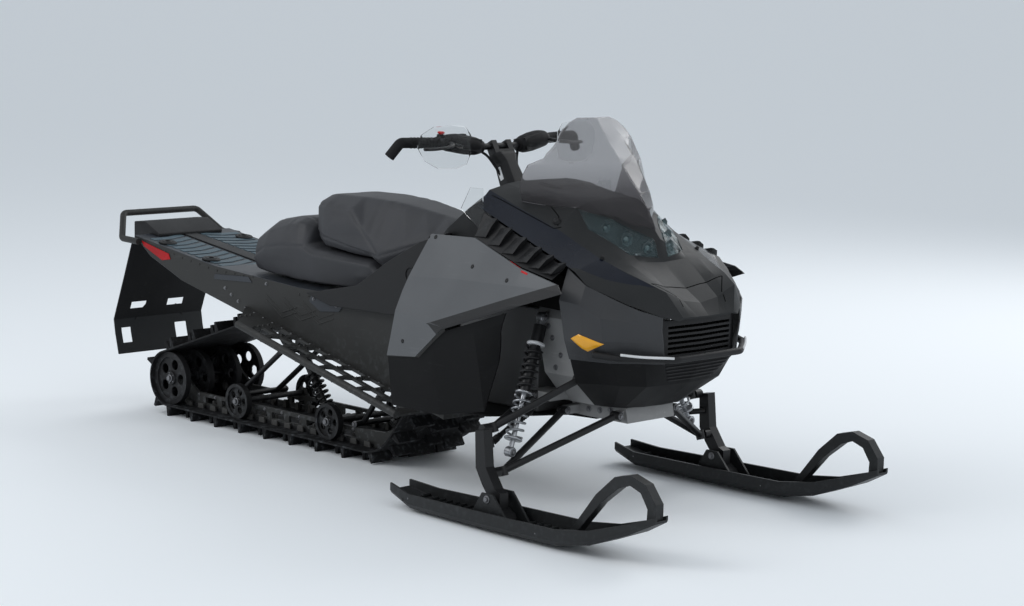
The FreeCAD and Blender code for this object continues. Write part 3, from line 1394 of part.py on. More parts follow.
def on_post(thing):
    """Place a piece that is drawn along the steering post."""
    (x, z), (clamp_x, clamp_z) = post_point(pivot_shares), post_point(clamp_shares)
    place(thing, x, 0, z, Vector(0, -1, 0), slope(x - clamp_x, clamp_z - z))


def post_length():
    (x, z), (clamp_x, clamp_z) = post_point(pivot_shares), post_point(clamp_shares)
    return math.hypot(float(x - clamp_x), float(clamp_z - z))


def steering_post():
    """Round post with a clamp block at its head."""
    reach = post_length() - float(s.bar_radius) * 1.6
    radius, bar = float(s.post_radius), float(s.bar_radius)
    below = float(s.post_below)
    shapes = [Part.makeCylinder(radius, reach + below, Vector(0, 0, -below)),
              Part.makeBox(bar * 3, bar * 8, bar * 1.4, Vector(-bar * 1.5, -bar * 4, reach - bar * 1.4))]
    for side in (-1, 1):
        clamp = Part.makeBox(bar * 3, bar * 2, bar * 3.2, Vector(-bar * 1.5, side * bar * 3 - bar, reach - bar * 0.2))
        hole = Part.makeCylinder(bar + float(s.seat_gap), bar * 8, Vector(0, -bar * 4, post_length()), Vector(0, 1, 0))
        shapes.append(clamp.cut(hole))
    feature = own_shape("steering_post", united(shapes))
    on_post(feature)
    keep("steering_post", feature)


# Bar points from the middle out: shares of the grip's reach back, sideways and up from the clamp
bar_shares = ((0.0, 0.0, 0.0), (0.0, 0.24, 0.0), (-0.045, 0.52, 0.042), (-0.12, 1.0, 0.052))


def bar_points():
    reach = float(s.grip_reach)
    clamp_x, clamp_z = post_point(clamp_shares)
    base = vector(clamp_x, 0, clamp_z)
    return [base + Vector(x, -y, z) * reach for x, y, z in bar_shares]


def handlebar():
    half = bar_points()
    points = list(reversed(half[1:])) + [Vector(p.x, -p.y, p.z) for p in half[1:]]
    keep("handlebar", own_shape("handlebar", tube(points, s.bar_radius, s.bar_radius * 3)))


def controls():
    """Grips with hooked ends, switch housings and a stop button."""
    half = bar_points()
    inner, outer = half[2], half[3]
    gap, radius = float(s.seat_gap), float(s.grip_radius)
    bar = float(s.bar_radius)
    reach = float(s.grip_reach)
    line = (outer - inner).normalize()
    start = between(inner, outer, 0.2)
    hook = [start, outer + line * bar, outer + line * bar * 4 + Vector(-reach * 0.03, 0, -reach * 0.12)]
    bore = rod(between(inner, outer, 0.1), outer + line * gap, bar + gap)
    grip = tube(hook, radius, radius * 1.2).cut(bore)
    right = own_shape("grip_right", grip)
    keep("grips", together("grips", [right, mirrored("grip_left", right)]))
    mid, end = half[1], half[2]
    wide, tall = reach * 0.13, reach * 0.11
    box = Part.makeBox(reach * 0.24, wide, tall, Vector(0, -wide / 2, -tall / 2))
    box.Placement = Placement(between(mid, end, 0.06), Rotation(Vector(1, 0, 0), end - mid))
    housing = box.cut(tube(bar_points(), bar + gap, bar * 3))
    button = Part.makeCylinder(reach * 0.03, reach * 0.04, between(mid, end, 0.6) + Vector(0, 0, tall * 0.45))
    right = own_shape("housing_right", united([housing, button]))
    keep("controls", together("controls", [right, mirrored("housing_left", own_shape("housing", housing))]))


def hand_guards():
    """Clear curved shields ahead of the grips, on short stalks from the bar."""
    half = bar_points()
    reach, thick = float(s.grip_reach), float(s.guard_thick)
    base = between(half[2], half[3], 0.1)
    spots = [(0.20, 0.52), (0.24, 0.72), (0.21, 0.92), (0.13, 1.06)]
    low, high = base.z - reach * 0.2, base.z + reach * 0.17
    front = [Vector(float(post_point(clamp_shares)[0]) + reach * x, -reach * y, low) for x, y in spots]
    back = [Vector(p.x - thick, p.y + thick * 0.3, low) for p in front]
    shield = Part.Face(Part.makePolygon(front + back[::-1] + front[:1])).extrude(Vector(0, 0, high - low))
    fat_bar = tube(bar_points(), s.bar_radius + s.seat_gap, s.bar_radius * 3)
    stalk_end = Vector(front[0].x - thick * 0.5, base.y, base.z)
    stalk = rod(base, stalk_end, thick * 1.5).cut(fat_bar)
    right = own_shape("guard_right", united([shield, stalk]))
    keep("hand_guards", together("hand_guards", [right, mirrored("guard_left", right)]))


for build in (tunnel, tunnel_cooler, running_board, snow_flap, tail_cap, tail_light, rear_bumper, cargo_anchors,
              side_reflectors, seats, hood, headlamps, windshield, cheeks, grille, nose_pan, floor_pan, side_panels,
              louvres, front_bumper, console, side_fairings, side_deflectors, engine, bulkhead, front_arms,
              front_shock, spindle, tie_rod, ski, track, running_gear, slide_rails, track_suspension, steering_post,
              handlebar, controls, hand_guards):
    build()

doc.recompute()

for thing in doc.Objects:
    bad = [state for state in thing.State if state in ("Invalid", "Error")]
    if bad:
        raise RuntimeError(f"{thing.Name} ({thing.Label}) failed: {bad}")
for name, thing in pieces.items():
    shape = thing.Shape
    if shape.isNull() or not shape.isValid() or not shape.Solids:
        raise RuntimeError(f"{name} has no valid solid")

os.makedirs("parts", exist_ok=True)
for name, thing in pieces.items():
    thing.Shape.exportStep(f"parts/{name}.step")
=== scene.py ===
import bmesh
import bpy
import json
import math
from mathutils import Matrix, Vector
from mathutils.bvhtree import BVHTree


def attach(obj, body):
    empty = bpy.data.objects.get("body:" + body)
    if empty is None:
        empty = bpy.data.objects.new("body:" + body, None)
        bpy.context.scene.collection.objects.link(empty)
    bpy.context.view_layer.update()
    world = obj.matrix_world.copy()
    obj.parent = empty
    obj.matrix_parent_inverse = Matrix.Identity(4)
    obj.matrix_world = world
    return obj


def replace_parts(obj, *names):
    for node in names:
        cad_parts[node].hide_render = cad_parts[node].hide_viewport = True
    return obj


# Snowmobile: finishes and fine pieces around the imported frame, in metres.

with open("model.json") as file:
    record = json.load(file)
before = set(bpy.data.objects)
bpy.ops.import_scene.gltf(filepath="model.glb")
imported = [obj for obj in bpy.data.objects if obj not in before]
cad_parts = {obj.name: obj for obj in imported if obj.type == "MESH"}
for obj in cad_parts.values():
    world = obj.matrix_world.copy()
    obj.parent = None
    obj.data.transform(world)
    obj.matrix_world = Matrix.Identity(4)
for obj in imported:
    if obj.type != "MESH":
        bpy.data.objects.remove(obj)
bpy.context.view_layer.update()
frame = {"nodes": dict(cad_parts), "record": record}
nodes = frame["nodes"]
node_body = {node: body for body, held in frame["record"]["behaviour"]["bodies"].items() for node in held}
node_slot = {part["node"]: part["material_slot"] for part in frame["record"]["subparts"]}
scene = bpy.context.scene

# Places of the solids that the fine pieces sit on

ski_y, ski_bolt_x, ski_bolt_z = 0.520, 0.89, 0.096
shock_top, shock_foot = (0.788, 0.240, 0.612), (0.836, 0.4175, 0.2155)
rear_hub, bogie_hubs, carrier_hub = (-1.22, 0.144), ((-0.8296, 0.109), (-0.32, 0.109)), (-0.59, 0.392)
post_foot, post_axis = Vector((0.470, 0, 0.870)), Vector((-0.133, 0, 0.240)).normalized()
post_fore = Vector((post_axis.z, 0, -post_axis.x))
deck_slope, rearmost = 0.1368, -1.5508

# Camera, light and floor

eye = Vector((5.867, -5.409, 1.648))
heading, drop, roll = math.radians(45.25), math.radians(7.80), math.radians(1.15)
ahead = Vector((-math.sin(heading) * math.cos(drop), math.cos(heading) * math.cos(drop), -math.sin(drop)))
level = Vector((math.cos(heading), math.sin(heading), 0))
upright = level.cross(ahead)
right = level * math.cos(roll) + upright * math.sin(roll)
above = upright * math.cos(roll) - level * math.sin(roll)
sensor_width, focal_pixels, frame_pixels = 36, 2347, 1024
camera_data = bpy.data.cameras.new("camera")
camera_data.sensor_width = sensor_width
camera_data.lens = focal_pixels * sensor_width / frame_pixels
camera = bpy.data.objects.new("camera", camera_data)
scene.collection.objects.link(camera)
camera.matrix_world = Matrix.Translation(eye) @ Matrix((right, above, -ahead)).transposed().to_4x4()
scene.camera = camera
scene.view_settings.view_transform = "Standard"


def object_of(name, bm):
    """Turn a bmesh into an object in the scene."""
    mesh = bpy.data.meshes.new(name)
    bm.to_mesh(mesh)
    bm.free()
    piece = bpy.data.objects.new(name, mesh)
    scene.collection.objects.link(piece)
    return piece


def fill(tree, socket, value):
    """Link an output to a socket, or set a number or a colour on it."""
    if isinstance(value, bpy.types.NodeSocket):
        tree.links.new(value, socket)
    else:
        socket.default_value = (*value, 1) if socket.type == "RGBA" else value


def wire(tree, node, **sockets):
    """Fill the inputs of a node, or of a new one of a kind; an underscore in a name is a space."""
    if isinstance(node, str):
        node = tree.nodes.new(node)
    for name, value in sockets.items():
        fill(tree, node.inputs[name.replace("_", " ")], value)
    return node


def new_material(name):
    """A node material with a Principled shader."""
    made = bpy.data.materials.new(name)
    made.use_nodes = True
    tree = made.node_tree
    tree.nodes.clear()
    shader = tree.nodes.new("ShaderNodeBsdfPrincipled")
    wire(tree, "ShaderNodeOutputMaterial", Surface=shader.outputs["BSDF"])
    return made, tree, shader


def studio():
    """Overcast dome, a broad soft key from the left of the view, a rim and a front lamp, and a pale snow floor."""
    world = bpy.data.worlds.new("sky")
    scene.world = world
    world.use_nodes = True
    tree = world.node_tree
    sky = wire(tree, tree.nodes["Background"], Color=(0.80, 0.85, 0.90), Strength=0.74)
    shown = wire(tree, "ShaderNodeBackground", Color=(0.80, 0.84, 0.87), Strength=0.95)
    seen = tree.nodes.new("ShaderNodeLightPath").outputs["Is Camera Ray"]
    blend = tree.nodes.new("ShaderNodeMixShader")
    for socket, value in zip(blend.inputs, (seen, sky.outputs[0], shown.outputs[0])):
        fill(tree, socket, value)
    wire(tree, tree.nodes["World Output"], Surface=blend.outputs[0])
    for name, spot, aim, wide, power in (("key", (-2.5, -5.5, 5.0), (0.3, 0, 0.5), 3.5, 150),
                                         ("rim", (0.5, 6.0, 4.5), (0.3, 0, 0.6), 4.0, 130),
                                         ("front", (6.5, -1.0, 3.2), (0.6, 0, 0.6), 3.0, 28)):
        data = bpy.data.lights.new(name, "AREA")
        data.size = wide
        data.energy = power
        lamp = bpy.data.objects.new(name, data)
        scene.collection.objects.link(lamp)
        lamp.location = spot
        lamp.rotation_euler = (Vector(aim) - Vector(spot)).to_track_quat("-Z", "Y").to_euler()
    bm = bmesh.new()
    bmesh.ops.create_grid(bm, x_segments=2, y_segments=2, size=900)
    floor = object_of("snow_floor", bm)
    snow, tree, shader = new_material("snow")
    wire(tree, shader, Base_Color=(0.90, 0.93, 0.955), Roughness=0.9)
    floor.data.materials.append(snow)


studio()

# Shader groups shared by the finishes


def shader_group(name, outputs, **inputs):
    """A group with named float sockets: its tree, given values, output node and Object coordinates."""
    tree = bpy.data.node_groups.new(name, "ShaderNodeTree")
    for socket, value in inputs.items():
        tree.interface.new_socket(socket, in_out="INPUT", socket_type="NodeSocketFloat").default_value = value
    for socket in outputs:
        tree.interface.new_socket(socket, in_out="OUTPUT", socket_type="NodeSocketFloat")
    coords = tree.nodes.new("ShaderNodeTexCoord").outputs["Object"]
    return tree, tree.nodes.new("NodeGroupInput").outputs, tree.nodes.new("NodeGroupOutput"), coords


def maths(tree, kind, first, second):
    """One math node's result."""
    node = tree.nodes.new("ShaderNodeMath")
    node.operation = kind
    fill(tree, node.inputs[0], first)
    fill(tree, node.inputs[1], second)
    return node.outputs[0]


def ramp(tree, value, low, high, start=0.0, end=1.0):
    """Map a value from one range to another, held at both ends."""
    return wire(tree, "ShaderNodeMapRange", Value=value, From_Min=low, From_Max=high, To_Min=start,
                To_Max=end).outputs["Result"]


def noise(tree, coords, scale, detail):
    return wire(tree, "ShaderNodeTexNoise", Vector=coords, Scale=scale, Detail=detail).outputs["Fac"]


def grain_group():
    """Moulded or cast grain: pebbles of a set size, and a slow mottle across the piece."""
    tree, given, out, coords = shader_group("surface_grain", ("Height", "Mottle"), Scale=900, Spread=7)
    cells = wire(tree, "ShaderNodeTexVoronoi", Vector=coords, Scale=given["Scale"])
    fine, slow = noise(tree, coords, given["Scale"], 3), noise(tree, coords, given["Spread"], 5)
    wire(tree, out, Height=maths(tree, "ADD", cells.outputs["Distance"], fine), Mottle=ramp(tree, slow, 0.3, 0.7))
    return tree


def scuff_group():
    """Thin scratches and rubbed places, as a mask."""
    tree, given, out, coords = shader_group("scuffs", ("Mask",), Scale=14, Amount=0.3)
    stretch = wire(tree, "ShaderNodeMapping", Vector=coords, Scale=(1.0, 5.0, 9.0), Rotation=(0.1, 0.35, 0.2))
    thin = ramp(tree, noise(tree, stretch.outputs[0], given["Scale"], 9), 0.60, 0.72)
    patches = ramp(tree, noise(tree, coords, 4, 2), 0.45, 0.7)
    wire(tree, out, Mask=maths(tree, "MULTIPLY", maths(tree, "MULTIPLY", thin, patches), given["Amount"]))
    return tree


def frost_group():
    """A light film of dry snow low on the machine."""
    tree, given, out, coords = shader_group("frost", ("Mask",), Amount=0.25, Reach=0.45)
    height = wire(tree, "ShaderNodeSeparateXYZ", Vector=coords).outputs["Z"]
    low = maths(tree, "SUBTRACT", 1.0, maths(tree, "DIVIDE", height, given["Reach"]))
    held = wire(tree, "ShaderNodeClamp", Value=low).outputs[0]
    speckle = ramp(tree, noise(tree, coords, 55, 8), 0.52, 0.75)
    wire(tree, out, Mask=maths(tree, "MULTIPLY", maths(tree, "MULTIPLY", held, speckle), given["Amount"]))
    return tree


surface_grain, scuffs, frost = grain_group(), scuff_group(), frost_group()


def place_group(tree, group, **values):
    node = tree.nodes.new("ShaderNodeGroup")
    node.node_tree = group
    return wire(tree, node, **values).outputs


def tint(tree, share, first, second):
    """Mix two colours by a mask; each is a colour or a socket."""
    node = tree.nodes.new("ShaderNodeMix")
    node.data_type = "RGBA"
    fill(tree, node.inputs["Factor"], share)
    fill(tree, node.inputs[6], first)
    fill(tree, node.inputs[7], second)
    return node.outputs[2]


def finish(name, colour, rough, metal=0.0, grain=900, depth=0.0001, wear=0.3, snow=0.0, coat=0.0, vary=0.25,
           sheen=0.3):
    """A solid finish: colour with mottle, scratches, a film of snow, and grain in its bump."""
    made, tree, shader = new_material(name)
    grained = place_group(tree, surface_grain, Scale=grain, Spread=7)
    shade = tint(tree, grained["Mottle"], tuple(c * (1 - vary) for c in colour), colour)
    scratches = place_group(tree, scuffs, Scale=14, Amount=wear)["Mask"]
    shade = tint(tree, scratches, shade, tuple(min(1, c * 2.2 + 0.03) for c in colour))
    if snow:
        film = place_group(tree, frost, Amount=snow, Reach=0.5)["Mask"]
        shade = tint(tree, film, shade, (0.72, 0.78, 0.84))
    bump = wire(tree, "ShaderNodeBump", Distance=depth, Strength=0.8, Height=grained["Height"])
    wire(tree, shader, Base_Color=shade, Metallic=metal, Coat_Weight=coat, Specular_IOR_Level=sheen,
         Roughness=ramp(tree, grained["Mottle"], 0, 1, rough * 0.88, min(1, rough * 1.12)),
         Normal=bump.outputs["Normal"])
    return made


def clear(name, colour, rough, weight, ior=1.15, foot=None):
    """A transparent moulded sheet with faint scratches, darker towards its foot where one is given."""
    made, tree, shader = new_material(name)
    scratches = place_group(tree, scuffs, Scale=30, Amount=0.4)["Mask"]
    base = colour
    if foot:
        coords = tree.nodes.new("ShaderNodeTexCoord").outputs["Object"]
        height = wire(tree, "ShaderNodeSeparateXYZ", Vector=coords).outputs["Z"]
        base = tint(tree, ramp(tree, height, 0.97, 1.09), foot, colour)
    wire(tree, shader, Transmission_Weight=weight, IOR=ior,
         Base_Color=tint(tree, scratches, base, tuple(c * 0.8 for c in colour)),
         Roughness=ramp(tree, scratches, 0, 1, rough, rough + 0.2))
    return made


finishes = {
    "black_frame": finish("frame_coat", (0.030, 0.030, 0.029), 0.50, grain=1400, depth=0.00005, snow=0.1, sheen=0.25),
    "edge_coat": finish("edge_coat", (0.026, 0.030, 0.038), 0.38, grain=1400, depth=0.00005, sheen=0.35),
    "deck_blue": finish("deck_blue", (0.060, 0.098, 0.122), 0.45, grain=900, depth=0.0001, snow=0.1, vary=0.2),
    "bare_aluminium": finish("cast_aluminium", (0.15, 0.15, 0.152), 0.5, metal=0.4, grain=1100, depth=0.00015),
    "bulkhead_grey": finish("bulkhead_grey", (0.30, 0.30, 0.30), 0.5, metal=0.2, grain=1100, depth=0.0001),
    "clip_steel": finish("clip_steel", (0.075, 0.073, 0.070), 0.5, metal=0.4, grain=1100, depth=0.0001),
    "flap_band": finish("flap_band", (0.019, 0.021, 0.023), 0.6, grain=800, depth=0.0002, sheen=0.25),
    "black_rubber": finish("moulded_rubber", (0.010, 0.010, 0.011), 0.66, grain=800, depth=0.0002, sheen=0.2),
    "track_rubber": finish("track_rubber", (0.010, 0.010, 0.011), 0.70, grain=500, depth=0.0003, snow=0.1, sheen=0.2),
    "black_plastic": finish("moulded_plastic", (0.014, 0.014, 0.015), 0.50, grain=1200, depth=0.00012, sheen=0.25),
    "wheel_plastic": finish("wheel_plastic", (0.013, 0.013, 0.014), 0.52, grain=1200, snow=0.06, sheen=0.25),
    "ski_plastic": finish("ski_plastic", (0.016, 0.017, 0.018), 0.46, grain=1000, snow=0.02, sheen=0.3),
    "cheek_plastic": finish("cheek_plastic", (0.042, 0.043, 0.046), 0.42, grain=1500, depth=0.00006),
    "belly_plastic": finish("belly_plastic", (0.0055, 0.0055, 0.006), 0.55, grain=1200, sheen=0.15),
    "shadow_black": finish("shadow_black", (0.004, 0.004, 0.004), 0.8, grain=900, sheen=0.05),
    "red_lens": finish("red_lens", (0.40, 0.005, 0.008), 0.35, grain=300, depth=0.0003, wear=0.05, sheen=0.2),
    "red_plastic": finish("red_plastic", (0.55, 0.010, 0.012), 0.40, grain=1200, wear=0.05),
    "amber_lens": finish("amber_lens", (0.90, 0.42, 0.02), 0.25, grain=300, depth=0.0004, coat=0.5, wear=0.05),
    "seat_vinyl": finish("seat_vinyl", (0.044, 0.045, 0.050), 0.52, grain=650, depth=0.00025, wear=0.1, sheen=0.3),
    "hood_black": finish("hood_charcoal", (0.024, 0.025, 0.026), 0.46, grain=1600, depth=0.00004, wear=0.05,
                         sheen=0.15),
    "hood_stripe": finish("stripe_gloss", (0.0055, 0.0080, 0.0160), 0.28, grain=1800, depth=0.00001, coat=0.12,
                          wear=0.05, sheen=0.2),
    "panel_grey": finish("panel_grey", (0.108, 0.112, 0.118), 0.40, metal=0.25, grain=1800, depth=0.00003, wear=0.08,
                         vary=0.10),
    "flare_dark": finish("flare_dark", (0.020, 0.020, 0.021), 0.45, grain=1400, depth=0.00006, sheen=0.25),
    "black_steel": finish("black_steel", (0.012, 0.012, 0.013), 0.40, grain=1500, depth=0.00004, sheen=0.3),
    "spring_steel": finish("bright_steel", (0.42, 0.43, 0.45), 0.30, metal=0.85, grain=1600, depth=0.00003),
    "bolt_steel": finish("bolt_steel", (0.22, 0.22, 0.23), 0.38, metal=0.8, grain=1600, depth=0.00003),
    "reflector_bowl": finish("reflector_bowl", (0.085, 0.11, 0.115), 0.35, metal=0.4, grain=1600, depth=0.00001,
                             vary=0.1),
    "lamp_bowl": finish("lamp_bowl", (0.030, 0.042, 0.046), 0.45, grain=1600, depth=0.000005, wear=0.0, vary=0.3,
                        sheen=0.3),
    "lamp_core": finish("lamp_core", (0.24, 0.28, 0.28), 0.3, grain=1600, depth=0.00001, vary=0.05),
    "white_strip": finish("white_strip", (0.80, 0.81, 0.82), 0.35, grain=1500, depth=0.00002, wear=0.1),
    "lamp_glass": clear("lamp_lens", (0.62, 0.72, 0.74), 0.02, weight=0.97, ior=1.12),
    "smoked_screen": clear("smoked_screen", (0.50, 0.49, 0.495), 0.05, weight=0.88, foot=(0.26, 0.25, 0.26)),
    "clear_screen": clear("clear_screen", (0.90, 0.91, 0.91), 0.03, weight=0.99, ior=1.1),
}

# Tools for pieces


def show(name, bm, material, body, weighted=True):
    """Turn a bmesh into a piece that rides on a body, shaded smooth with even flats."""
    piece = object_of(name, bm)
    for polygon in piece.data.polygons:
        polygon.use_smooth = True
    for one in material if isinstance(material, list) else [material]:
        piece.data.materials.append(finishes[one])
    if weighted:
        piece.modifiers.new("even_normals", "WEIGHTED_NORMAL").weight = 60
    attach(piece, body)
    return piece


def merged(node, flat=0.4):
    """A CAD node's mesh as one connected skin, with its flat faces whole."""
    bm = bmesh.new()
    bm.from_mesh(nodes[node].data)
    bmesh.ops.remove_doubles(bm, verts=bm.verts, dist=0.00002)
    bmesh.ops.dissolve_limit(bm, angle_limit=math.radians(flat), verts=bm.verts, edges=bm.edges)
    return bm


def ease(bm, edges, width, segments=2):
    """Round the given edges."""
    bmesh.ops.bevel(bm, geom=edges, offset=width, offset_type="OFFSET", affect="EDGES", segments=segments,
                    profile=0.5, clamp_overlap=True, material=-1)


def softened(node, material, width=0.0015, segments=2, angle=28, flat=0.4, paint=None, weighted=True):
    """A copy of a CAD node with rounded edges, which stands for it."""
    bm = merged(node, flat)
    ease(bm, [edge for edge in bm.edges
              if len(edge.link_faces) == 2 and edge.calc_face_angle(0) > math.radians(angle)], width, segments)
    if paint:
        paint(bm)
    piece = show(f"{node}_finished", bm, material, node_body[node], weighted)
    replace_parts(piece, node)


# Mesh tools for fine pieces


def stitch(bm, rings):
    """Faces between matching rings of vertices, with both ends closed."""
    for first, second in zip(rings, rings[1:]):
        for i in range(len(first)):
            j = (i + 1) % len(first)
            bm.faces.new((first[i], first[j], second[j], second[i]))
    bm.faces.new(list(reversed(rings[0])))
    bm.faces.new(rings[-1])


def slab(bm, outline, axis, low, high, bevel=0.0):
    """A flat plate with a broken-line outline, thick along one axis, with eased edges."""
    spots = {"x": lambda u, v, w: (w, u, v), "y": lambda u, v, w: (u, w, v), "z": lambda u, v, w: (u, v, w)}[axis]
    before = set(bm.faces)
    stitch(bm, [[bm.verts.new(spots(u, v, w)) for u, v in outline] for w in (low, high)])
    made = [face for face in bm.faces if face not in before]
    bmesh.ops.recalc_face_normals(bm, faces=made)
    if bevel:
        ease(bm, list({edge for face in made for edge in face.edges}), bevel)


def turned(bm, start, along, profile, sides=20):
    """A round form about an axis, from (distance, radius) pairs."""
    start, along = Vector(start), Vector(along).normalized()
    side = along.orthogonal().normalized()
    other = along.cross(side)
    turns = [(math.cos(2 * math.pi * i / sides), math.sin(2 * math.pi * i / sides)) for i in range(sides)]
    stitch(bm, [[bm.verts.new(start + along * reach + (side * c + other * s) * radius) for c, s in turns]
                for reach, radius in profile])


def bolt(bm, spot, out, size):
    """A flanged hexagon head."""
    turned(bm, spot, out, ((-size * 0.3, size * 1.5), (size * 0.2, size * 1.5), (size * 0.35, size * 1.25)), 16)
    turned(bm, spot, out, ((0, size), (size * 0.85, size), (size * 1.0, size * 0.85), (size * 0.95, size * 0.45)), 6)


def rivet(bm, spot, out, size):
    turned(bm, spot, out, ((-size * 0.2, size), (size * 0.15, size), (size * 0.4, size * 0.7),
                           (size * 0.5, size * 0.3)), 10)


def smooth_run(points, steps=8):
    """Points of a smooth curve through the given ones."""
    points = [Vector(point) for point in points]
    points = [points[0] * 2 - points[1], *points, points[-1] * 2 - points[-2]]
    run = []
    for p0, p1, p2, p3 in zip(points, points[1:], points[2:], points[3:]):
        for step in range(steps):
            u = step / steps
            run.append(0.5 * (2 * p1 + (p2 - p0) * u + (2 * p0 - 5 * p1 + 4 * p2 - p3) * u * u
                              + (3 * p1 - p0 - 3 * p2 + p3) * u ** 3))
    return run + [points[-2]]


def swept(bm, points, radius, sides=12, flat=1.0):
    """A bar along a run of points; the radius is a number or one for each point, and flat squashes it upright."""
    radii = radius if isinstance(radius, (list, tuple)) else [radius] * len(points)
    rings = []
    side = None
    for i, point in enumerate(points):
        along = (points[min(i + 1, len(points) - 1)] - points[max(i - 1, 0)]).normalized()
        if side is None:
            side = along.cross(Vector((0, 0, 1)))
            side = side.normalized() if side.length > 0.01 else Vector((0, 1, 0))
        side = (side - along * side.dot(along)).normalized()
        other = along.cross(side)
        rings.append([bm.verts.new(point + (side * math.cos(turn) + other * math.sin(turn) * flat) * radii[i])
                      for turn in (2 * math.pi * k / sides for k in range(sides))])
    stitch(bm, rings)


def mirror_in(bm):
    """Add the same geometry on the other side of the machine."""
    copied = bmesh.ops.duplicate(bm, geom=bm.verts[:] + bm.edges[:] + bm.faces[:])["geom"]
    for item in copied:
        if isinstance(item, bmesh.types.BMVert):
            item.co.y = -item.co.y
    bmesh.ops.reverse_faces(bm, faces=[item for item in copied if isinstance(item, bmesh.types.BMFace)])


def added(name, material, build, body="chassis", mirror=True):
    """A new piece from a function that fills a mesh, on both sides of the machine unless told otherwise."""
    bm = bmesh.new()
    build(bm)
    if mirror:
        mirror_in(bm)
    bmesh.ops.recalc_face_normals(bm, faces=bm.faces)
    return show(name, bm, material, body)


skins = {}


def skin_of(node):
    """A node's surface for finding points on it."""
    if node not in skins:
        skins[node] = BVHTree.FromPolygons([vertex.co.copy() for vertex in nodes[node].data.vertices],
                                           [tuple(polygon.vertices) for polygon in nodes[node].data.polygons])
    return skins[node]


looks = {"down": (Vector((0, 0, 1)), lambda u, v: Vector((u, v, 3))),
         "left": (Vector((0, -1, 0)), lambda u, v: Vector((u, -3, v))),
         "back": (Vector((1, 0, 0)), lambda u, v: Vector((3, u, v)))}


def land(node, view, u, v):
    """Where a straight look meets a node: at (x, y) from above, (x, z) from the right, (y, z) from ahead."""
    out, start = looks[view]
    spot, normal, _, _ = skin_of(node).ray_cast(start(u, v), -out)
    if spot is None:
        spot, normal, _, _ = skin_of(node).find_nearest(start(u, v) - out * 3)
    return spot, normal if normal.dot(out) > 0 else -normal


def stud(bm, node, view, u, v, profile, sides):
    """A round form standing on a node's surface."""
    spot, normal = land(node, view, u, v)
    turned(bm, spot - normal * 0.001, normal, profile, sides)


def ribbon(bm, node, view, points, width=0.003, tall=0.0006):
    """A thin strip laid on a node along a broken line."""
    run = []
    for (u1, v1), (u2, v2) in zip(points, points[1:]):
        steps = max(1, int(math.hypot(u2 - u1, v2 - v1) / 0.012))
        run += [(u1 + (u2 - u1) * k / steps, v1 + (v2 - v1) * k / steps) for k in range(steps)]
    found = [land(node, view, u, v) for u, v in run + [points[-1]]]
    rings = []
    for i, (spot, normal) in enumerate(found):
        along = (found[min(i + 1, len(found) - 1)][0] - found[max(i - 1, 0)][0]).normalized()
        across = along.cross(normal).normalized() * width / 2
        rings.append([bm.verts.new(spot + across - normal * 0.001), bm.verts.new(spot + across + normal * tall),
                      bm.verts.new(spot - across + normal * tall), bm.verts.new(spot - across - normal * 0.001)])
    stitch(bm, rings)


def patch(bm, node, view, outline, thick=0.0015, cuts=3):
    """A thin plate that follows a node's surface inside an outline."""
    before = set(bm.faces)
    face = bm.faces.new([bm.verts.new((u, v, 0)) for u, v in outline])
    made = bmesh.ops.triangulate(bm, faces=[face])["faces"]
    bmesh.ops.subdivide_edges(bm, edges=list({edge for one in made for edge in one.edges}), cuts=cuts,
                              use_grid_fill=True)
    made = [one for one in bm.faces if one not in before]
    verts = list({vertex for one in made for vertex in one.verts})
    out = looks[view][0]
    normals = {}
    for vertex in verts:
        vertex.co, normals[vertex] = land(node, view, vertex.co.x, vertex.co.y)
    bmesh.ops.recalc_face_normals(bm, faces=made)
    if sum((one.normal.dot(out) for one in made)) < 0:
        bmesh.ops.reverse_faces(bm, faces=made)
    rim = [edge for edge in {edge for one in made for edge in one.edges} if len(edge.link_faces) == 1]
    grown = bmesh.ops.extrude_edge_only(bm, edges=rim)["geom"]
    foot = [item for item in grown if isinstance(item, bmesh.types.BMVert)]
    for vertex in foot:
        vertex.co -= out * 0.002
    for vertex in verts:
        vertex.co += normals[vertex] * thick


# Bodywork

shoulder_line = ((0.52, 0.238), (0.85, 0.236), (1.014, 0.225), (1.075, 0.207), (1.164, 0.186), (1.227, 0.160),
                 (1.28, 0.118))


def on_line(line, x):
    """Height of a broken line at x."""
    for (x1, y1), (x2, y2) in zip(line, line[1:]):
        if x <= x2:
            return y1 + (y2 - y1) * max(0, (x - x1)) / (x2 - x1)
    return line[-1][1]


def cut(bm, spot, out):
    """Split the faces that a plane crosses."""
    bmesh.ops.bisect_plane(bm, geom=bm.verts[:] + bm.edges[:] + bm.faces[:], dist=0.00001, plane_co=spot,
                           plane_no=out)


def paint_hood(bm):
    """Gloss stripe along each shoulder, cut off in front along a slanting line."""
    for side in (-1, 1):
        cut(bm, (0.989, side * 0.330, 0.8), (0.18, side * 0.24, 0))
    for face in bm.faces:
        centre = face.calc_center_median()
        reach = abs(centre.y)
        behind = (centre.x - 0.989) * 0.18 + (reach - 0.330) * 0.24 < 0
        face.material_index = int(behind and reach > on_line(shoulder_line, centre.x) + 0.001)


def paint_flare(bm):
    """Dark band along the foot of the side panel's front."""
    cut(bm, (0.526, 0, 0.592), (-0.312, 0, 0.95))
    for face in bm.faces:
        centre = face.calc_center_median()
        below = (centre.x - 0.526) * -0.312 + (centre.z - 0.592) * 0.95 < 0
        face.material_index = int(below and centre.x > 0.505)


def paint_tunnel(bm):
    """Blue-black coat on what faces up and on the rear end."""
    for face in bm.faces:
        face.material_index = int(face.normal.z > 0.5 or face.calc_center_median().x < -1.0)


def paint_flap(bm):
    """Paler lower third."""
    for face in bm.faces:
        face.material_index = int(face.calc_center_median().z < 0.325)


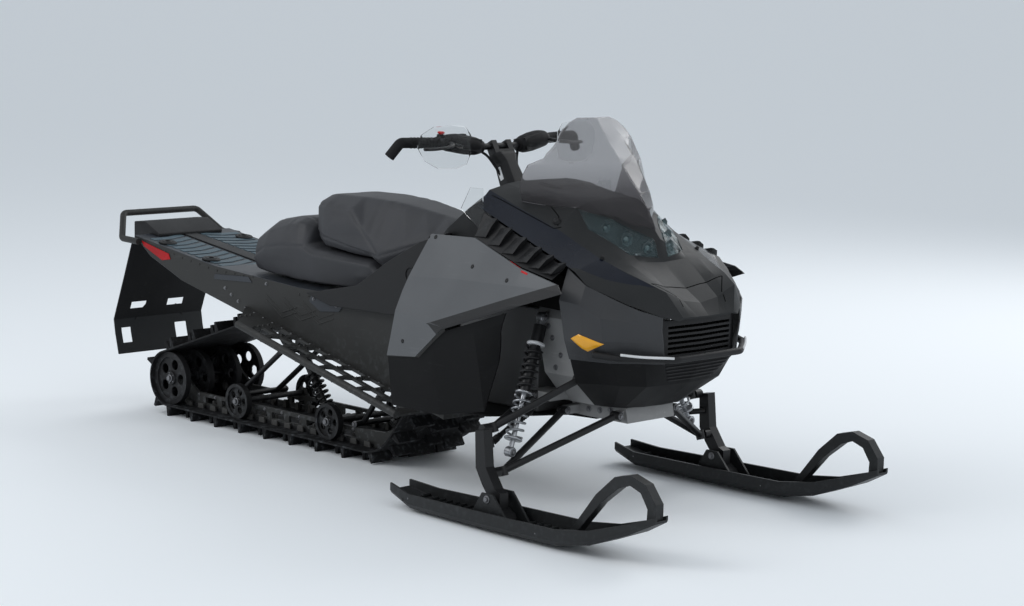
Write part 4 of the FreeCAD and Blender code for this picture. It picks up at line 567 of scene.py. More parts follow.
def lamp_shell(bm, outer):
    """Keep the lens's outer face as a thin cover, or the rest as the bowl behind it."""
    drop = [face for face in bm.faces if (face.normal.x > 0.05) != outer]
    bmesh.ops.delete(bm, geom=drop, context="FACES")
    bmesh.ops.solidify(bm, geom=bm.faces[:], thickness=0.0022 if outer else 0.001)


# Across, height, size of the cup and of its core
lamps = ((0.050, 0.842, 0.021, 0.009), (0.094, 0.866, 0.023, 0.010), (0.134, 0.900, 0.017, 0.007))


def headlamps():
    for outer, name, material, slot in ((True, "headlamps_finished", "lamp_glass", node_slot["headlamps"]),
                                        (False, "lamp_bowls", "lamp_bowl", "black_plastic")):
        bm = merged("headlamps", 0.05)
        lamp_shell(bm, outer)
        piece = show(name, bm, material, "chassis", weighted=False)
        if outer:
            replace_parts(piece, "headlamps")

    def lamp(bm, y, z, deep, profile, sides):
        spot, _ = land("headlamps", "back", -y, z)
        turned(bm, spot - Vector((deep, 0, 0)), (1, -0.2, 0.1), profile, sides)

    def cups(bm):
        for y, z, size, _ in lamps:
            lamp(bm, y, z, 0.0125, ((0, size * 0.3), (0.002, size * 0.55), (0.005, size * 0.8), (0.009, size),
                                    (0.0095, size * 0.96), (0.006, size * 0.76), (0.003, size * 0.5),
                                    (0.002, size * 0.28)), 8 if size > 0.02 else 6)

    def cores(bm):
        for y, z, _, size in lamps:
            lamp(bm, y, z, 0.0115, ((0, size), (0.003, size * 0.9), (0.0055, size * 0.6), (0.0065, size * 0.2)), 14)

    added("lamp_reflectors", "reflector_bowl", cups)
    added("lamp_cores", "lamp_core", cores)


def hood_details():
    seams = (((0.56, -0.247), (0.603, -0.245), (0.719, -0.243), (0.828, -0.24), (0.849, -0.226)),
             ((1.172, -0.164), (1.165, -0.071), (1.167, 0.0)), ((1.172, -0.164), (1.222, -0.105), (1.245, -0.098)),
             ((0.648, -0.133), (0.742, -0.179), (0.815, -0.204), (0.835, -0.228)))

    def lines(bm):
        for seam in seams:
            ribbon(bm, "hood", "down", seam)

    def knobs(bm):
        for x, y, size in ((0.822, -0.219, 0.011), (1.017, -0.219, 0.006)):
            stud(bm, "hood", "down", x, y, ((0, size * 1.25), (0.003, size * 1.25), (0.004, size),
                                            (0.009, size * 0.9), (0.011, size * 0.6)), 18)

    added("hood_seams", "shadow_black", lines)
    added("hood_latches", "black_plastic", knobs)


def body_details():
    # Slatted mesh behind the grille in near-black: painted shade for the hollow nose behind it.
    def mesh(bm):
        front = ((-0.172, 1.198), (-0.144, 1.210), (-0.07, 1.217), (0.0, 1.220), (0.07, 1.217), (0.144, 1.210),
                 (0.172, 1.198))
        section = ((0, 0.514), (0, 0.643), (-0.002, 0.643), (-0.002, 0.514))
        stitch(bm, [[bm.verts.new((x + deep, y, z)) for deep, z in section] for y, x in front])
        for k in range(21):
            y = -0.16 + 0.016 * k
            x = on_line(front, y)
            slab(bm, ((x - 0.001, y - 0.0012), (x + 0.005, y - 0.0012), (x + 0.005, y + 0.0012),
                      (x - 0.001, y + 0.0012)), "z", 0.516, 0.641)

    # Near-black sheets inside the side panel's openings, and a wall across the hollow at their rear: painted shade
    # for the hollow inside the panel.
    def shade_sheets(bm):
        outline = ((0.60, 0.665), (1.06, 0.650), (1.06, 0.69), (0.98, 0.75), (0.60, 0.84))
        slab(bm, outline, "y", -0.303, -0.300, 0.0005)
        slab(bm, ((0.60, 0.62), (0.604, 0.62), (0.604, 0.90), (0.60, 0.90)), "y", -0.300, -0.02)

    def amber(bm):
        patch(bm, "nose_cheek_right", "left", ((1.014, 0.584), (1.046, 0.600), (1.12, 0.576), (1.066, 0.549)), 0.003)

    def tag(bm):
        patch(bm, "side_panel_right", "left", ((0.852, 0.782), (0.882, 0.776), (0.879, 0.766), (0.849, 0.772)),
              0.0008, 1)

    def strip(bm):
        run = smooth_run(((1.169, -0.291, 0.5465), (1.213, -0.2385, 0.540), (1.270, -0.161, 0.536)), 6)
        swept(bm, run, 0.0042, 8)

    def screws(bm):
        for x, z in ((0.40, 0.835), (0.62, 0.765), (0.80, 0.742), (0.345, 0.50), (0.30, 0.72)):
            stud(bm, "side_panel_right", "left", x, z, ((0, 0.007), (0.002, 0.007), (0.003, 0.005), (0.002, 0.002)),
                 14)

    def low_grille(bm):
        for k in range(5):
            z = 0.452 + k * 0.012
            reach = 0.10 + k * 0.011
            ribbon(bm, "nose_pan", "back", ((-reach, z), (reach, z)), 0.004, 0.0025)

    def ring(bm):
        spot = Vector((0.195, -0.2555, 0.686))
        turned(bm, spot, (0, -1, 0), ((0, 0.0215), (0, 0.027), (0.003, 0.027), (0.0045, 0.0255), (0.004, 0.0222),
                                      (-0.02, 0.0212)), 28)

    added("grille_shade_mesh", "shadow_black", mesh, mirror=False)
    added("inner_shade_sheets", "shadow_black", shade_sheets)
    added("amber_reflectors", "amber_lens", amber)
    added("panel_tags", "red_plastic", tag)
    added("bumper_strips", "white_strip", strip)
    added("panel_screws", "black_plastic", screws)
    added("low_grille", "black_plastic", low_grille, mirror=False)
    added("fairing_rings", "black_plastic", ring)


def bodywork():
    softened("hood", ["hood_black", "hood_stripe"], 0.0022, angle=9, paint=paint_hood)
    for side in ("right", "left"):
        softened(f"side_panel_{side}", ["panel_grey", "flare_dark"], 0.0022, angle=9, paint=paint_flare)
        softened(f"lower_panel_{side}", "belly_plastic", 0.002, angle=9)
        softened(f"nose_cheek_{side}", "cheek_plastic", 0.002, angle=9)
        softened(f"running_board_{side}", "black_frame", 0.0012)
    softened("nose_pan", "belly_plastic", 0.002, angle=9)
    softened("grille", "black_plastic", 0.001)
    softened("louvres", "black_plastic", 0.0012)
    softened("console", "black_plastic", 0.004, segments=3)
    softened("side_fairings", "black_plastic", 0.003, segments=3)
    softened("front_bumper", "black_plastic", 0.001)
    softened("tunnel", ["black_frame", "edge_coat"], 0.0025, segments=3, paint=paint_tunnel)
    softened("tail_cap", "black_plastic", 0.004, segments=3)
    softened("snow_flap", ["black_rubber", "flap_band"], 0.0015, paint=paint_flap)
    softened("windshield", "smoked_screen", 0.001, flat=0.05, angle=75, weighted=False)
    softened("side_deflectors", "clear_screen", 0.001)
    softened("tail_light", "red_lens", 0.002)
    softened("side_reflectors", "red_lens", 0.0008)
    softened("cargo_anchors", "black_plastic", 0.0015)
    softened("floor_pan", "belly_plastic", 0.001)
    softened("tunnel_cooler", "bare_aluminium", 0.0006)
    softened("rear_bumper", "black_frame", 0.0008)
    headlamps()
    hood_details()
    body_details()


# Tunnel, boards and track gear


def on_deck(x):
    """Height of the rear deck's surface."""
    return 0.672 - (x + 1.393) * deck_slope


def laid_on_deck(bm, outline, high, bevel):
    """A thin slab that follows the rear deck."""
    before = set(bm.verts)
    slab(bm, outline, "z", -0.001, high, bevel)
    for vertex in set(bm.verts) - before:
        vertex.co.z += on_deck(vertex.co.x)


def deck_details():
    def ribs(bm):
        for side in (-1, 1):
            for k in range(12):
                x = -1.352 + k * 0.046
                if x > -0.84:
                    break
                outline = ((x, 0.045), (x + 0.030, 0.045), (x + 0.058, 0.125), (x + 0.058, 0.203), (x + 0.028, 0.203),
                           (x + 0.028, 0.125))
                laid_on_deck(bm, [(u, side * v) for u, v in outline], 0.0022, 0.0006)

    def spine(bm):
        laid_on_deck(bm, ((-1.375, -0.03), (-0.82, -0.03), (-0.82, 0.03), (-1.375, 0.03)), 0.005, 0.002)

    def rivets(bm):
        for k in range(26):
            x = -1.25 + k * 0.052
            if x < -0.9:
                z = 0.588 + (-0.896 - x) * deck_slope
            else:
                z = 0.588 if x < -0.42 else 0.552
            spot, normal = land("tunnel", "left", x, z)
            if spot.y < -0.2:
                rivet(bm, spot, normal, 0.0045)

    def presses(bm):
        for x in (-0.60, -0.50, -0.40):
            for shift in (0.0, 0.018):
                ribbon(bm, "tunnel", "left", ((x, 0.530 - shift), (x + 0.09, 0.478 - shift),
                                              (x + 0.17, 0.505 - shift)), 0.004, 0.0015)

    def plate(bm):
        slab(bm, ((-0.36, 0.535), (-0.345, 0.560), (-0.20, 0.572), (-0.16, 0.56), (-0.20, 0.515), (-0.30, 0.505)),
             "y", -0.2285, -0.2245, 0.0012)
        slab(bm, ((-0.90, 0.556), (-0.895, 0.575), (-0.70, 0.585), (-0.68, 0.566)), "y", -0.228, -0.2245, 0.001)

    def plate_bolts(bm):
        for x, z in ((-0.335, 0.545), (-0.215, 0.535), (-0.837, 0.53), (-0.80, 0.51), (-0.76, 0.49), (-0.60, 0.57)):
            bolt(bm, (x, -0.2287 if x > -0.5 else -0.2252, z), (0, -1, 0), 0.0045)

    def anchor_rims(bm):
        for x in (-1.2434, -0.9777):
            for y in (-0.18, 0.18):
                out = Vector((0.1355, 0, 0.9908))
                turned(bm, Vector((x, y, on_deck(x))) - out * 0.001, out,
                       ((0, 0.034), (0.006, 0.034), (0.0085, 0.031), (0.0085, 0.020), (0.004, 0.018),
                        (0.004, 0.0125)), 24)

    added("anchor_rims", "black_plastic", anchor_rims, mirror=False)
    added("deck_ribs", "deck_blue", ribs, mirror=False)
    added("deck_spine", "black_plastic", spine, mirror=False)
    added("tunnel_rivets", "black_frame", rivets)
    added("tunnel_presses", "black_frame", presses)
    added("tunnel_plates", "edge_coat", plate)
    added("tunnel_bolts", "bolt_steel", plate_bolts)


def flap_details():
    def ribs(bm):
        for points in (((-0.19, 0.585), (0.0, 0.40), (0.19, 0.585)), ((-0.19, 0.225), (0.19, 0.225)),
                       ((-0.17, 0.25), (-0.05, 0.40)), ((0.17, 0.25), (0.05, 0.40))):
            full = []
            for (y1, z1), (y2, z2) in zip(points, points[1:]):
                for k in range(14):
                    start = Vector((-3, y1 + (y2 - y1) * k / 14, z1 + (z2 - z1) * k / 14))
                    spot = skin_of("snow_flap").ray_cast(start, Vector((1, 0, 0)))[0]
                    if spot:
                        full.append(Vector((max(spot.x - 0.0005, rearmost), spot.y, spot.z)))
            if len(full) > 3:
                swept(bm, full, 0.004, 8)

    added("flap_ribs", "black_rubber", ribs, mirror=False)


def board_details():
    def teeth(bm):
        for k in range(9):
            x = 0.262 - 0.10 * (k + 0.95)
            for y in (-0.268, -0.290, -0.312, -0.334):
                if land("running_board_right", "down", x, y)[0].z > 0.2:
                    stud(bm, "running_board_right", "down", x, y, ((0, 0.006), (0.001, 0.006), (0.006, 0.0032),
                                                                   (0.0065, 0.002)), 6)

    def rivets(bm):
        for k in range(19):
            spot, normal = land("running_board_right", "down", 0.23 - k * 0.052, -0.236)
            rivet(bm, spot, normal, 0.004)

    added("board_teeth", "black_frame", teeth)
    added("board_rivets", "bolt_steel", rivets)


def tyres(hubs, radius):
    """Paint the rims of wheels as rubber."""
    def paint(bm):
        for face in bm.faces:
            centre = face.calc_center_median()
            if all(math.hypot(centre.x - x, centre.z - z) > radius for x, z in hubs):
                face.material_index = 1
    return paint


def painted(bm, index, build):
    """Give what a function adds to the mesh one of the piece's materials."""
    before = set(bm.faces)
    build(bm)
    for face in bm.faces:
        if face not in before:
            face.material_index = index


def front_shock(side):
    """Damper with a black upper spring, a bright lower one and an eye at each end."""
    top, foot = (Vector((x, side * y, z)) for x, y, z in (shock_top, shock_foot))
    run = foot - top
    along = run.normalized()
    across = along.orthogonal().normalized()
    other = along.cross(across)

    def cylinder(bm, start, end, radius, sides=24):
        reach = (end - start) * run.length
        lip = min(0.002, reach / 4)
        turned(bm, top + run * start, along, ((0, radius * 0.9), (lip, radius), (reach - lip, radius),
                                              (reach, radius * 0.9)), sides)

    def coil(bm, start, end, turns, wire):
        steps = int(turns * 18)
        points = [top + run * (start + (end - start) * k / steps) + (across * math.cos(k * math.tau / 18)
                                                                    + other * math.sin(k * math.tau / 18)) * 0.0252
                  for k in range(steps + 1)]
        swept(bm, points, wire, 8)

    def bright(bm):
        for end in (top, foot):
            turned(bm, end - Vector((0.013, 0, 0)), (1, 0, 0), ((0, 0.013), (0.002, 0.016), (0.024, 0.016),
                                                                (0.026, 0.013)), 20)
        cylinder(bm, 0.03, 0.07, 0.012)
        cylinder(bm, 0.555, 0.575, 0.0288)
        cylinder(bm, 0.57, 0.97, 0.008, 16)
        cylinder(bm, 0.895, 0.915, 0.0288)
        coil(bm, 0.59, 0.885, 5.5, 0.0040)

    def dark(bm):
        cylinder(bm, 0.06, 0.19, 0.0212)
        cylinder(bm, 0.21, 0.56, 0.0168)
        coil(bm, 0.225, 0.545, 6.5, 0.0040)

    def white(bm):
        cylinder(bm, 0.19, 0.212, 0.0288)

    def build(bm):
        for index, part in enumerate((bright, dark, white)):
            painted(bm, index, part)

    return build


def gear_details():
    def bolts(bm):
        for x, z in (rear_hub, *bogie_hubs):
            y, size = (-0.188, 0.036) if x < -1 else (-0.179, 0.026)
            bolt(bm, (x, y, z), (0, -1, 0), 0.010)
            for k in range(5):
                turn = 2 * math.pi * (k + 0.5) / 5
                spot = (x + math.cos(turn) * size * 0.55, y + 0.004, z + math.sin(turn) * size * 0.55)
                bolt(bm, spot, (0, -1, 0), 0.003)

    def brackets(bm):
        for x, _ in bogie_hubs:
            for y in (-0.1385, 0.1345):
                slab(bm, ((x - 0.055, 0.075), (x + 0.055, 0.075), (x + 0.05, 0.092), (x + 0.014, 0.128),
                          (x - 0.014, 0.128), (x - 0.05, 0.092)), "y", y, y + 0.004, 0.001)

    def strips(bm):
        slab(bm, ((-1.17, 0.0446), (-0.12, 0.0446), (-0.12, 0.056), (-1.17, 0.056)), "y", -0.137, -0.1335, 0.001)

    def rail_bolts(bm):
        for k in range(10):
            bolt(bm, (-1.11 + k * 0.098, -0.1342, 0.092), (0, -1, 0), 0.004)
        for x in (-0.927, -0.22):
            bolt(bm, (x, -0.1345, 0.11), (0, -1, 0), 0.008)

    def clips(bm):
        for k in range(15):
            x = -1.17 + k * 0.0726
            slab(bm, ((x, 0.0448), (x + 0.034, 0.0448), (x + 0.031, 0.064), (x + 0.003, 0.064)), "y", -0.150,
                 -0.142, 0.001)
            slab(bm, ((x + 0.044, 0.0448), (x + 0.062, 0.0448), (x + 0.058, 0.074), (x + 0.048, 0.074)), "y",
                 -0.118, -0.104, 0.001)

    added("track_clips", "clip_steel", clips)
    added("wheel_bolts", "bolt_steel", bolts)
    added("bogie_brackets", "black_frame", brackets, mirror=False)
    added("wear_strips", "black_plastic", strips)
    added("rail_bolts", "bolt_steel", rail_bolts)


def running_parts():
    for side, sign in (("right", -1), ("left", 1)):
        softened(f"ski_{side}", "ski_plastic", 0.003, segments=3)
        softened(f"spindle_{side}", "black_steel", 0.008, segments=4)
        softened(f"front_arms_{side}", "black_steel", 0.0008)
        node = f"front_shock_{side}"
        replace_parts(added(f"{node}_finished", ["spring_steel", "black_steel", "white_strip"], front_shock(sign),
                          mirror=False), node)
        softened(f"tie_rod_{side}", "black_steel", 0.0006, flat=0.1)
    softened("rear_shocks", "black_steel", 0.0004, flat=0.1)
    softened("bulkhead", "bulkhead_grey", 0.002)
    softened("engine", "bare_aluminium", 0.006, segments=3)
    softened("track", "track_rubber", 0.0012, angle=35)
    softened("slide_rails", "black_frame", 0.001)
    softened("suspension_arms", "black_steel", 0.0008, flat=0.1)
    softened("rear_wheels", ["wheel_plastic", "black_rubber"], 0.0015, angle=40, paint=tyres([rear_hub], 0.086))
    softened("bogie_wheels", ["wheel_plastic", "black_rubber"], 0.0012, angle=40,
             paint=tyres([*bogie_hubs, carrier_hub], 0.056))
    softened("drive_axle", "wheel_plastic", 0.0012, angle=40)
    deck_details()
    flap_details()
    board_details()
    gear_details()
    front_details()


def front_details():
    def plate_bolts(bm):
        for x, z, size in ((0.82, 0.55, 0.006), (0.86, 0.50, 0.006), (0.80, 0.585, 0.006), (0.84, 0.46, 0.006),
                           (0.873, 0.319, 0.007), (0.92, 0.322, 0.007), (0.965, 0.330, 0.007)):
            spot, normal = land("bulkhead", "left", x, z)
            bolt(bm, spot, normal, size)

    def pivots(bm):
        for x, y, z in ((0.745, 0.236, 0.364), (0.960, 0.246, 0.440), (0.822, 0.170, 0.316), (1.010, 0.128, 0.320)):
            for way in (-1, 1):
                bolt(bm, (x + way * 0.0178, -y, z), (way, 0, 0), 0.007)

    def shock_bits(bm):
        for x, y, z in (shock_top, shock_foot):
            bolt(bm, (x + 0.0135, -y, z), (1, 0, 0), 0.0065)

    added("plate_bolts", "bolt_steel", plate_bolts)
    added("pivot_bolts", "bolt_steel", pivots)
    added("shock_bolts", "bolt_steel", shock_bits)
    for name, side in (("right", -1), ("left", 1)):
        y = side * ski_y
        ball = Vector((0.745, side * 0.415, 0.225))

        def boot(bm):
            start, end = ball, Vector((0.745, side * 0.215, 0.330))
            run = (end - start).normalized()
            profile = [(0, 0.009)]
            for k in range(6):
                profile += [(0.006 + k * 0.009, 0.012 + k * 0.0004), (0.010 + k * 0.009, 0.0155 + k * 0.0004)]
            turned(bm, end - run * 0.092, run, profile + [(0.066, 0.012)], 18)
            turned(bm, start + run * 0.016, run, ((0, 0.0125), (0.02, 0.0125), (0.024, 0.0105), (0.034, 0.0105)), 6)

        def nuts(bm):
            up = Vector((-0.047, 0, 0.129)).normalized()
            bolt(bm, ball + up * 0.012, up, 0.006)

        def ski_bits(bm):
            for way in (-1, 1):
                bolt(bm, (ski_bolt_x, y + way * 0.0462, ski_bolt_z), (0, way, 0), 0.0085)
            for x, z in ((0.56, 0.045), (1.13, 0.040)):
                for way in (-1, 1):
                    spot, normal, _, _ = skin_of(f"ski_{name}").ray_cast(Vector((x, y + way * 0.3, z)),
                                                                         Vector((0, -way, 0)))
                    if spot:
                        rivet(bm, spot - Vector((0, way * 0.0026, 0)), Vector((0, way, 0)), 0.0055)

        def cross_ribs(bm):
            for k in range(26):
                x = 0.53 + k * 0.031
                if 0.80 < x < 0.985:
                    continue
                spot, normal = land(f"ski_{name}", "down", x, y + side * 0.03)
                if spot.z < 0.07 or x > 1.2:
                    wide = 0.062 if x < 1.25 else 0.05
                    for way in (-1, 1):
                        slab(bm, ((x - 0.007, spot.z - 0.002), (x + 0.007, spot.z - 0.002),
                                  (x + 0.002, spot.z + 0.008), (x - 0.001, spot.z + 0.008)),
                             "y", y + way * 0.020, y + way * wide)

        def wear_bar(bm):
            for way in (-1, 1):
                slab(bm, ((0.64, 0.0015), (1.15, 0.0015), (1.17, 0.008), (0.63, 0.008)), "y",
                     y + way * 0.0088 - 0.001, y + way * 0.0088 + 0.001)

        def block(bm):
            slab(bm, ((0.83, 0.034), (0.95, 0.034), (0.94, 0.050), (0.915, 0.066), (0.865, 0.066), (0.84, 0.050)),
                 "y", y - 0.030, y + 0.030, 0.004)

        added(f"tie_boot_{name}", "black_rubber", boot, f"tie_rod_{name}", mirror=False)
        added(f"tie_nut_{name}", "bolt_steel", nuts, f"tie_rod_{name}", mirror=False)
        added(f"ski_bolts_{name}", "bolt_steel", ski_bits, f"ski_{name}", mirror=False)
        added(f"ski_ribs_{name}", "ski_plastic", cross_ribs, f"ski_{name}", mirror=False)
        added(f"ski_wear_bar_{name}", "bolt_steel", wear_bar, f"ski_{name}", mirror=False)
        added(f"ski_block_{name}", "black_rubber", block, f"ski_{name}", mirror=False)


# Steering

bar = [Vector(point) for point in ((0.337, 0, 1.110), (0.337, -0.0924, 1.110), (0.3197, -0.2002, 1.1262),
                                   (0.2908, -0.385, 1.1300))]


def along_bar(reach):
    """A point of the bar at a distance out to the right."""
    for first, second in zip(bar, bar[1:]):
        if reach <= -second.y or second is bar[-1]:
            share = (reach + first.y) / (first.y - second.y)
            return first + (second - first) * share


def steering_details():
    def muffs(bm):
        run = smooth_run([along_bar(reach) for reach in (0.082, 0.11, 0.15, 0.19, 0.222, 0.236)], 4)
        shape = [(i / 5, radius) for i, radius in enumerate((0.020, 0.029, 0.032, 0.031, 0.027, 0.021))]
        swept(bm, run, [on_line(shape, k / (len(run) - 1)) for k in range(len(run))], 20)

    def rings(bm):
        for reach in (0.262, 0.275, 0.288, 0.301, 0.314, 0.327, 0.340, 0.353):
            first, second = along_bar(reach), along_bar(reach + 0.004)
            turned(bm, first, second - first, ((0, 0.0168), (0.001, 0.0182), (0.004, 0.0182), (0.005, 0.0168)), 20)

    def switch(bm):
        spot = along_bar(0.243)
        turned(bm, spot, along_bar(0.3) - spot,
               ((-0.013, 0.018), (-0.012, 0.0215), (0.012, 0.0215), (0.013, 0.018)), 22)
        turned(bm, spot + Vector((0, 0, 0.014)), (0.1, 0, 1), ((0, 0.013), (0.012, 0.013), (0.0135, 0.0115)), 18)

    def stop(bm):
        spot = along_bar(0.243)
        turned(bm, spot + Vector((0.0012, 0, 0.026)), (0.1, 0, 1),
               ((0, 0.008), (0.004, 0.008), (0.005, 0.0115), (0.009, 0.0115), (0.0105, 0.0095)), 20)

    def levers(bm):
        for side in (1, -1):
            root = along_bar(0.225)
            run = [Vector((root.x + dx, -(0.225 + dy) * side, root.z + dz)) for dx, dy, dz in
                   ((0.018, 0, 0.0), (0.052, 0.015, -0.004), (0.062, 0.05, -0.010), (0.057, 0.10, -0.014),
                    (0.048, 0.135, -0.014))]
            swept(bm, smooth_run(run, 5), [0.009] * 6 + [0.0075] * 15, 10, 0.7)
            turned(bm, (root.x + 0.012, -0.225 * side, root.z - 0.014), (0, 0, 1), ((0, 0.012), (0.028, 0.012)), 16)

    def riser(bm):
        rings = []
        for reach, wide, deep in ((0.105, 0.040, 0.034), (0.125, 0.044, 0.036), (0.21, 0.036, 0.030),
                                  (0.236, 0.050, 0.028), (0.246, 0.050, 0.024)):
            centre = post_foot + post_axis * reach
            corners = [(1, 0.5), (0.6, 1), (-0.6, 1), (-1, 0.5), (-1, -0.5), (-0.6, -1), (0.6, -1), (1, -0.5)]
            rings.append([bm.verts.new(centre + Vector((0, u * wide, 0)) + post_fore * v * deep) for u, v in corners])
        stitch(bm, rings)
        ease(bm, bm.edges[:], 0.003)

    def gaiter(bm):
        profile = [(0.10, 0.018)]
        for k in range(5):
            profile += [(0.102 + 0.004 * k, 0.048 - 0.003 * k), (0.104 + 0.004 * k, 0.043 - 0.003 * k)]
        turned(bm, post_foot, post_axis, profile + [(0.125, 0.018)], 24)

    def label(bm):
        centre = post_foot + post_axis * 0.175 - Vector((0, 0.0415, 0))
        corners = [centre + post_fore * u * 0.008 + post_axis * v * 0.022
                   for u, v in ((-1, -1), (1, -1), (1, 1), (-1, 1))]
        stitch(bm, [[bm.verts.new(c + Vector((0, shift, 0))) for c in corners] for shift in (0.0, 0.004)])

    def hoses(bm):
        for side, drop in ((-1, 0.0), (1, 0.012)):
            run = [Vector((0.335, side * 0.088, 1.098)), Vector((0.352, side * 0.066, 1.078 - drop)),
                   Vector((0.372, side * 0.050, 1.045 - drop)), Vector((0.388, side * 0.034, 1.012)),
                   Vector((0.408, side * 0.020, 0.990))]
            swept(bm, smooth_run(run, 8), 0.0045, 10)

    def guards(bm):
        line = ((0.52, 0.20), (0.72, 0.24), (0.92, 0.21), (1.06, 0.13))
        rim = ((0.52, 0.35), (0.56, 0.08), (0.70, 0.0), (0.88, 0.02), (1.0, 0.2), (1.06, 0.5), (1.03, 0.78),
               (0.93, 0.96), (0.75, 1.0), (0.58, 0.95), (0.52, 0.75))
        rings = []
        for share in (0.02, 0.4, 0.75, 0.93, 1.0):
            spots = [(0.79 + (u - 0.79) * share, 0.5 + (v - 0.5) * share) for u, v in rim]
            rings.append([(0.337 + 0.385 * on_line(line, u) - 0.012 * (2 * v - 1) ** 2, -0.385 * u,
                           1.0505 + 0.141 * v) for u, v in spots])
        back = [[(x - (0.0042 if i == len(rings) - 1 else 0.0030), y, z) for x, y, z in ring]
                for i, ring in enumerate(rings)]
        stitch(bm, [[bm.verts.new(spot) for spot in ring] for ring in rings + back[::-1]])
        swept(bm, smooth_run((along_bar(0.218), (0.35, -0.226, 1.124), (0.408, -0.236, 1.120)), 6), 0.006, 12)

    added("bar_muffs", "black_rubber", muffs, "handlebar")
    added("grip_rings", "black_rubber", rings, "handlebar")
    added("stop_switch", "black_plastic", switch, "handlebar", mirror=False)
    added("stop_button", "red_plastic", stop, "handlebar", mirror=False)
    added("levers", "black_steel", levers, "handlebar", mirror=False)
    added("riser_cover", "black_plastic", riser, "handlebar", mirror=False)
    added("riser_label", "white_strip", label, "handlebar", mirror=False)
    added("post_gaiter", "black_rubber", gaiter, "handlebar", mirror=False)
    added("bar_hoses", "black_rubber", hoses, "handlebar", mirror=False)
    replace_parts(added("hand_guards_finished", "clear_screen", guards, "handlebar"),
                "hand_guards")


def dash(bm):
    """Instrument hood behind the windshield."""
    rings = []
    for x, wide, low, high in ((0.575, 0.070, 0.990, 1.010), (0.60, 0.085, 0.988, 1.016), (0.66, 0.080, 0.980, 1.008),
                               (0.70, 0.060, 0.966, 0.990)):
        corners = ((-1, low), (-1, high - 0.012), (-0.8, high), (0.8, high), (1, high - 0.012), (1, low))
        rings.append([bm.verts.new((x, wide * u, z)) for u, z in corners])
    stitch(bm, rings)
    ease(bm, bm.edges[:], 0.003)


def steering_parts():
    softened("steering_post", "black_steel", 0.001)
    softened("handlebar", "black_steel", 0.0006, flat=0.1)
    softened("grips", "black_rubber", 0.001, flat=0.1)
    softened("controls", "black_plastic", 0.003, segments=3)
    steering_details()
    added("dash", "black_plastic", dash, mirror=False)


# Seats


def cushion(node, rows, seams, swell):
    """Padded cover over foam: sections lofted along the machine, blown up a little, with sewn seams pressed in."""
    bm = bmesh.new()
    rings = []
    for x, *side in rows:
        rings.append([bm.verts.new((x, y, z)) for y, z in side + [(-y, z) for y, z in reversed(side)]])
    stitch(bm, rings)
    bmesh.ops.recalc_face_normals(bm, faces=bm.faces)
    piece = object_of(f"{node}_cover", bm)
    voxels = piece.modifiers.new("voxels", "REMESH")
    voxels.mode = "VOXEL"
    voxels.voxel_size = 0.006
    bake(piece)
    rest = [vertex.co.copy() for vertex in piece.data.vertices]
    normals = [vertex.normal.copy() for vertex in piece.data.vertices]
    cloth = piece.modifiers.new("cover", "CLOTH")
    cloth.settings.use_pressure = True
    cloth.settings.uniform_pressure_force = 4
    cloth.settings.effector_weights.gravity = 0
    cloth.settings.quality = 4
    cloth.point_cache.frame_start = 1
    cloth.point_cache.frame_end = 20
    for step in range(1, 21):
        scene.frame_set(step)
    bake(piece)
    scene.frame_set(1)
    settle(piece, rest, normals, swell)
    relax(piece, 2)
    press_seams(piece, seams)
    extra = piece.modifiers.new("fine", "SUBSURF")
    extra.levels = extra.render_levels = 1
    for polygon in piece.data.polygons:
        polygon.use_smooth = True
    piece.data.materials.append(finishes["seat_vinyl"])
    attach(piece, node_body[node])
    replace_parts(piece, node)


def bake(piece):
    """Apply every modifier to the piece's mesh."""
    graph = bpy.context.evaluated_depsgraph_get()
    graph.update()
    made = bpy.data.meshes.new_from_object(piece.evaluated_get(graph))
    piece.modifiers.clear()
    piece.data = made


def settle(piece, rest, normals, swell):
    """Keep only an even part of the cover's rise off the foam."""
    rise = [max(-0.002, min(swell, (vertex.co - start).dot(normal)))
            for vertex, start, normal in zip(piece.data.vertices, rest, normals)]
    for _ in range(6):
        total, count = rise[:], [1] * len(rise)
        for edge in piece.data.edges:
            first, second = edge.vertices
            total[first] += rise[second]
            total[second] += rise[first]
            count[first] += 1
            count[second] += 1
        rise = [part / number for part, number in zip(total, count)]
    for vertex, start, normal, up in zip(piece.data.vertices, rest, normals, rise):
        vertex.co = start + normal * up


def relax(piece, times):
    """Smooth the cover a little."""
    bm = bmesh.new()
    bm.from_mesh(piece.data)
    for _ in range(times):
        bmesh.ops.smooth_vert(bm, verts=bm.verts, factor=0.5, use_axis_x=True, use_axis_y=True, use_axis_z=True)
    bm.to_mesh(piece.data)
    bm.free()


def press_seams(piece, seams):
    """Push the cover in along each seam: a broken line seen from the side, or from above."""
    for vertex in piece.data.vertices:
        near = 1.0
        for view, points in seams:
            spot = Vector((vertex.co.x, vertex.co.z)) if view == "side" else Vector((vertex.co.x, abs(vertex.co.y)))
            if view == "side" and abs(vertex.normal.y) < 0.5:
                continue
            if view == "top" and vertex.normal.z < 0.4:
                continue
            for first, second in zip(points, points[1:]):
                first, second = Vector(first), Vector(second)
                run = second - first
                share = max(0, min(1, (spot - first).dot(run) / run.length_squared))
                near = min(near, (spot - first - run * share).length)
        if near < 0.012:
            vertex.co -= vertex.normal * 0.0055 * (1 - near / 0.012) ** 2


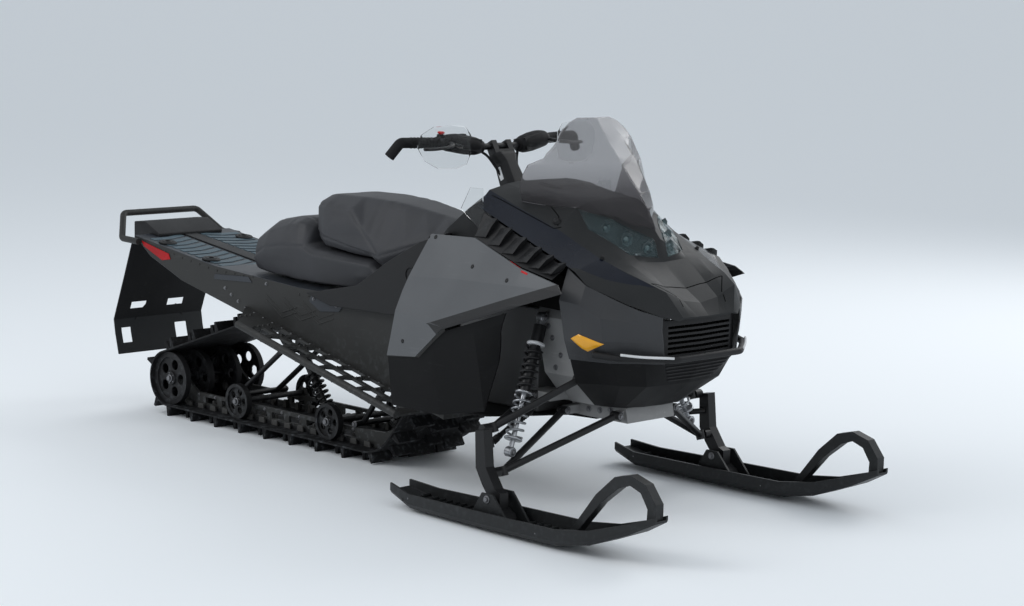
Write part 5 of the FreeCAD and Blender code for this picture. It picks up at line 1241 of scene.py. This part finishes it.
# Sections from the rear: x, then (half width, height) at foot, band, rim and crown
rider_rows = (
    (-0.436, (0.100, 0.745), (0.118, 0.768), (0.120, 0.868), (0.075, 0.884)),
    (-0.415, (0.128, 0.736), (0.146, 0.764), (0.146, 0.868), (0.085, 0.894)),
    (-0.360, (0.155, 0.724), (0.174, 0.757), (0.164, 0.864), (0.092, 0.898)),
    (-0.220, (0.166, 0.712), (0.187, 0.738), (0.168, 0.856), (0.095, 0.899)),
    (-0.140, (0.168, 0.709), (0.189, 0.728), (0.178, 0.790), (0.092, 0.897)),
    (-0.100, (0.168, 0.708), (0.189, 0.723), (0.184, 0.757), (0.090, 0.895)),
    (-0.055, (0.168, 0.684), (0.190, 0.714), (0.189, 0.722), (0.085, 0.892)),
    (-0.030, (0.166, 0.676), (0.187, 0.720), (0.185, 0.727), (0.081, 0.889)),
    (0.060, (0.150, 0.716), (0.168, 0.752), (0.165, 0.759), (0.068, 0.876)),
    (0.148, (0.125, 0.756), (0.138, 0.785), (0.135, 0.791), (0.055, 0.862)),
    (0.234, (0.112, 0.818), (0.120, 0.824), (0.117, 0.828), (0.045, 0.848)),
)
rider_seams = (("side", ((-0.436, 0.768), (-0.36, 0.757), (-0.22, 0.738), (-0.055, 0.716), (0.06, 0.754),
                         (0.148, 0.786), (0.234, 0.826))),
               ("side", ((-0.22, 0.858), (-0.055, 0.718))), ("side", ((-0.43, 0.866), (-0.22, 0.856))))
rear_rows = (
    (-0.763, (0.135, 0.614), (0.150, 0.640), (0.140, 0.680), (0.090, 0.700)),
    (-0.735, (0.160, 0.608), (0.178, 0.648), (0.158, 0.715), (0.100, 0.742)),
    (-0.660, (0.172, 0.600), (0.192, 0.690), (0.165, 0.752), (0.105, 0.785)),
    (-0.560, (0.175, 0.596), (0.195, 0.708), (0.160, 0.782), (0.110, 0.804)),
    (-0.500, (0.176, 0.592), (0.195, 0.714), (0.160, 0.790), (0.113, 0.808)),
    (-0.472, (0.176, 0.592), (0.195, 0.714), (0.152, 0.786), (0.105, 0.805)),
    (-0.450, (0.176, 0.592), (0.194, 0.710), (0.130, 0.776), (0.090, 0.796)),
    (-0.442, (0.176, 0.592), (0.194, 0.706), (0.172, 0.720), (0.120, 0.724)),
    (-0.400, (0.176, 0.592), (0.193, 0.690), (0.172, 0.704), (0.120, 0.708)),
    (-0.100, (0.170, 0.592), (0.188, 0.680), (0.172, 0.692), (0.120, 0.696)),
    (-0.062, (0.166, 0.592), (0.182, 0.650), (0.168, 0.668), (0.120, 0.674)),
)
rear_seams = (("side", ((-0.75, 0.655), (-0.66, 0.692), (-0.56, 0.709), (-0.45, 0.715))),
              ("top", ((-0.74, 0.10), (-0.46, 0.11))))

bodywork()
running_parts()
steering_parts()
cushion("rear_seat", rear_rows, rear_seams, 0.005)
cushion("rider_seat", rider_rows, rider_seams, 0.004)
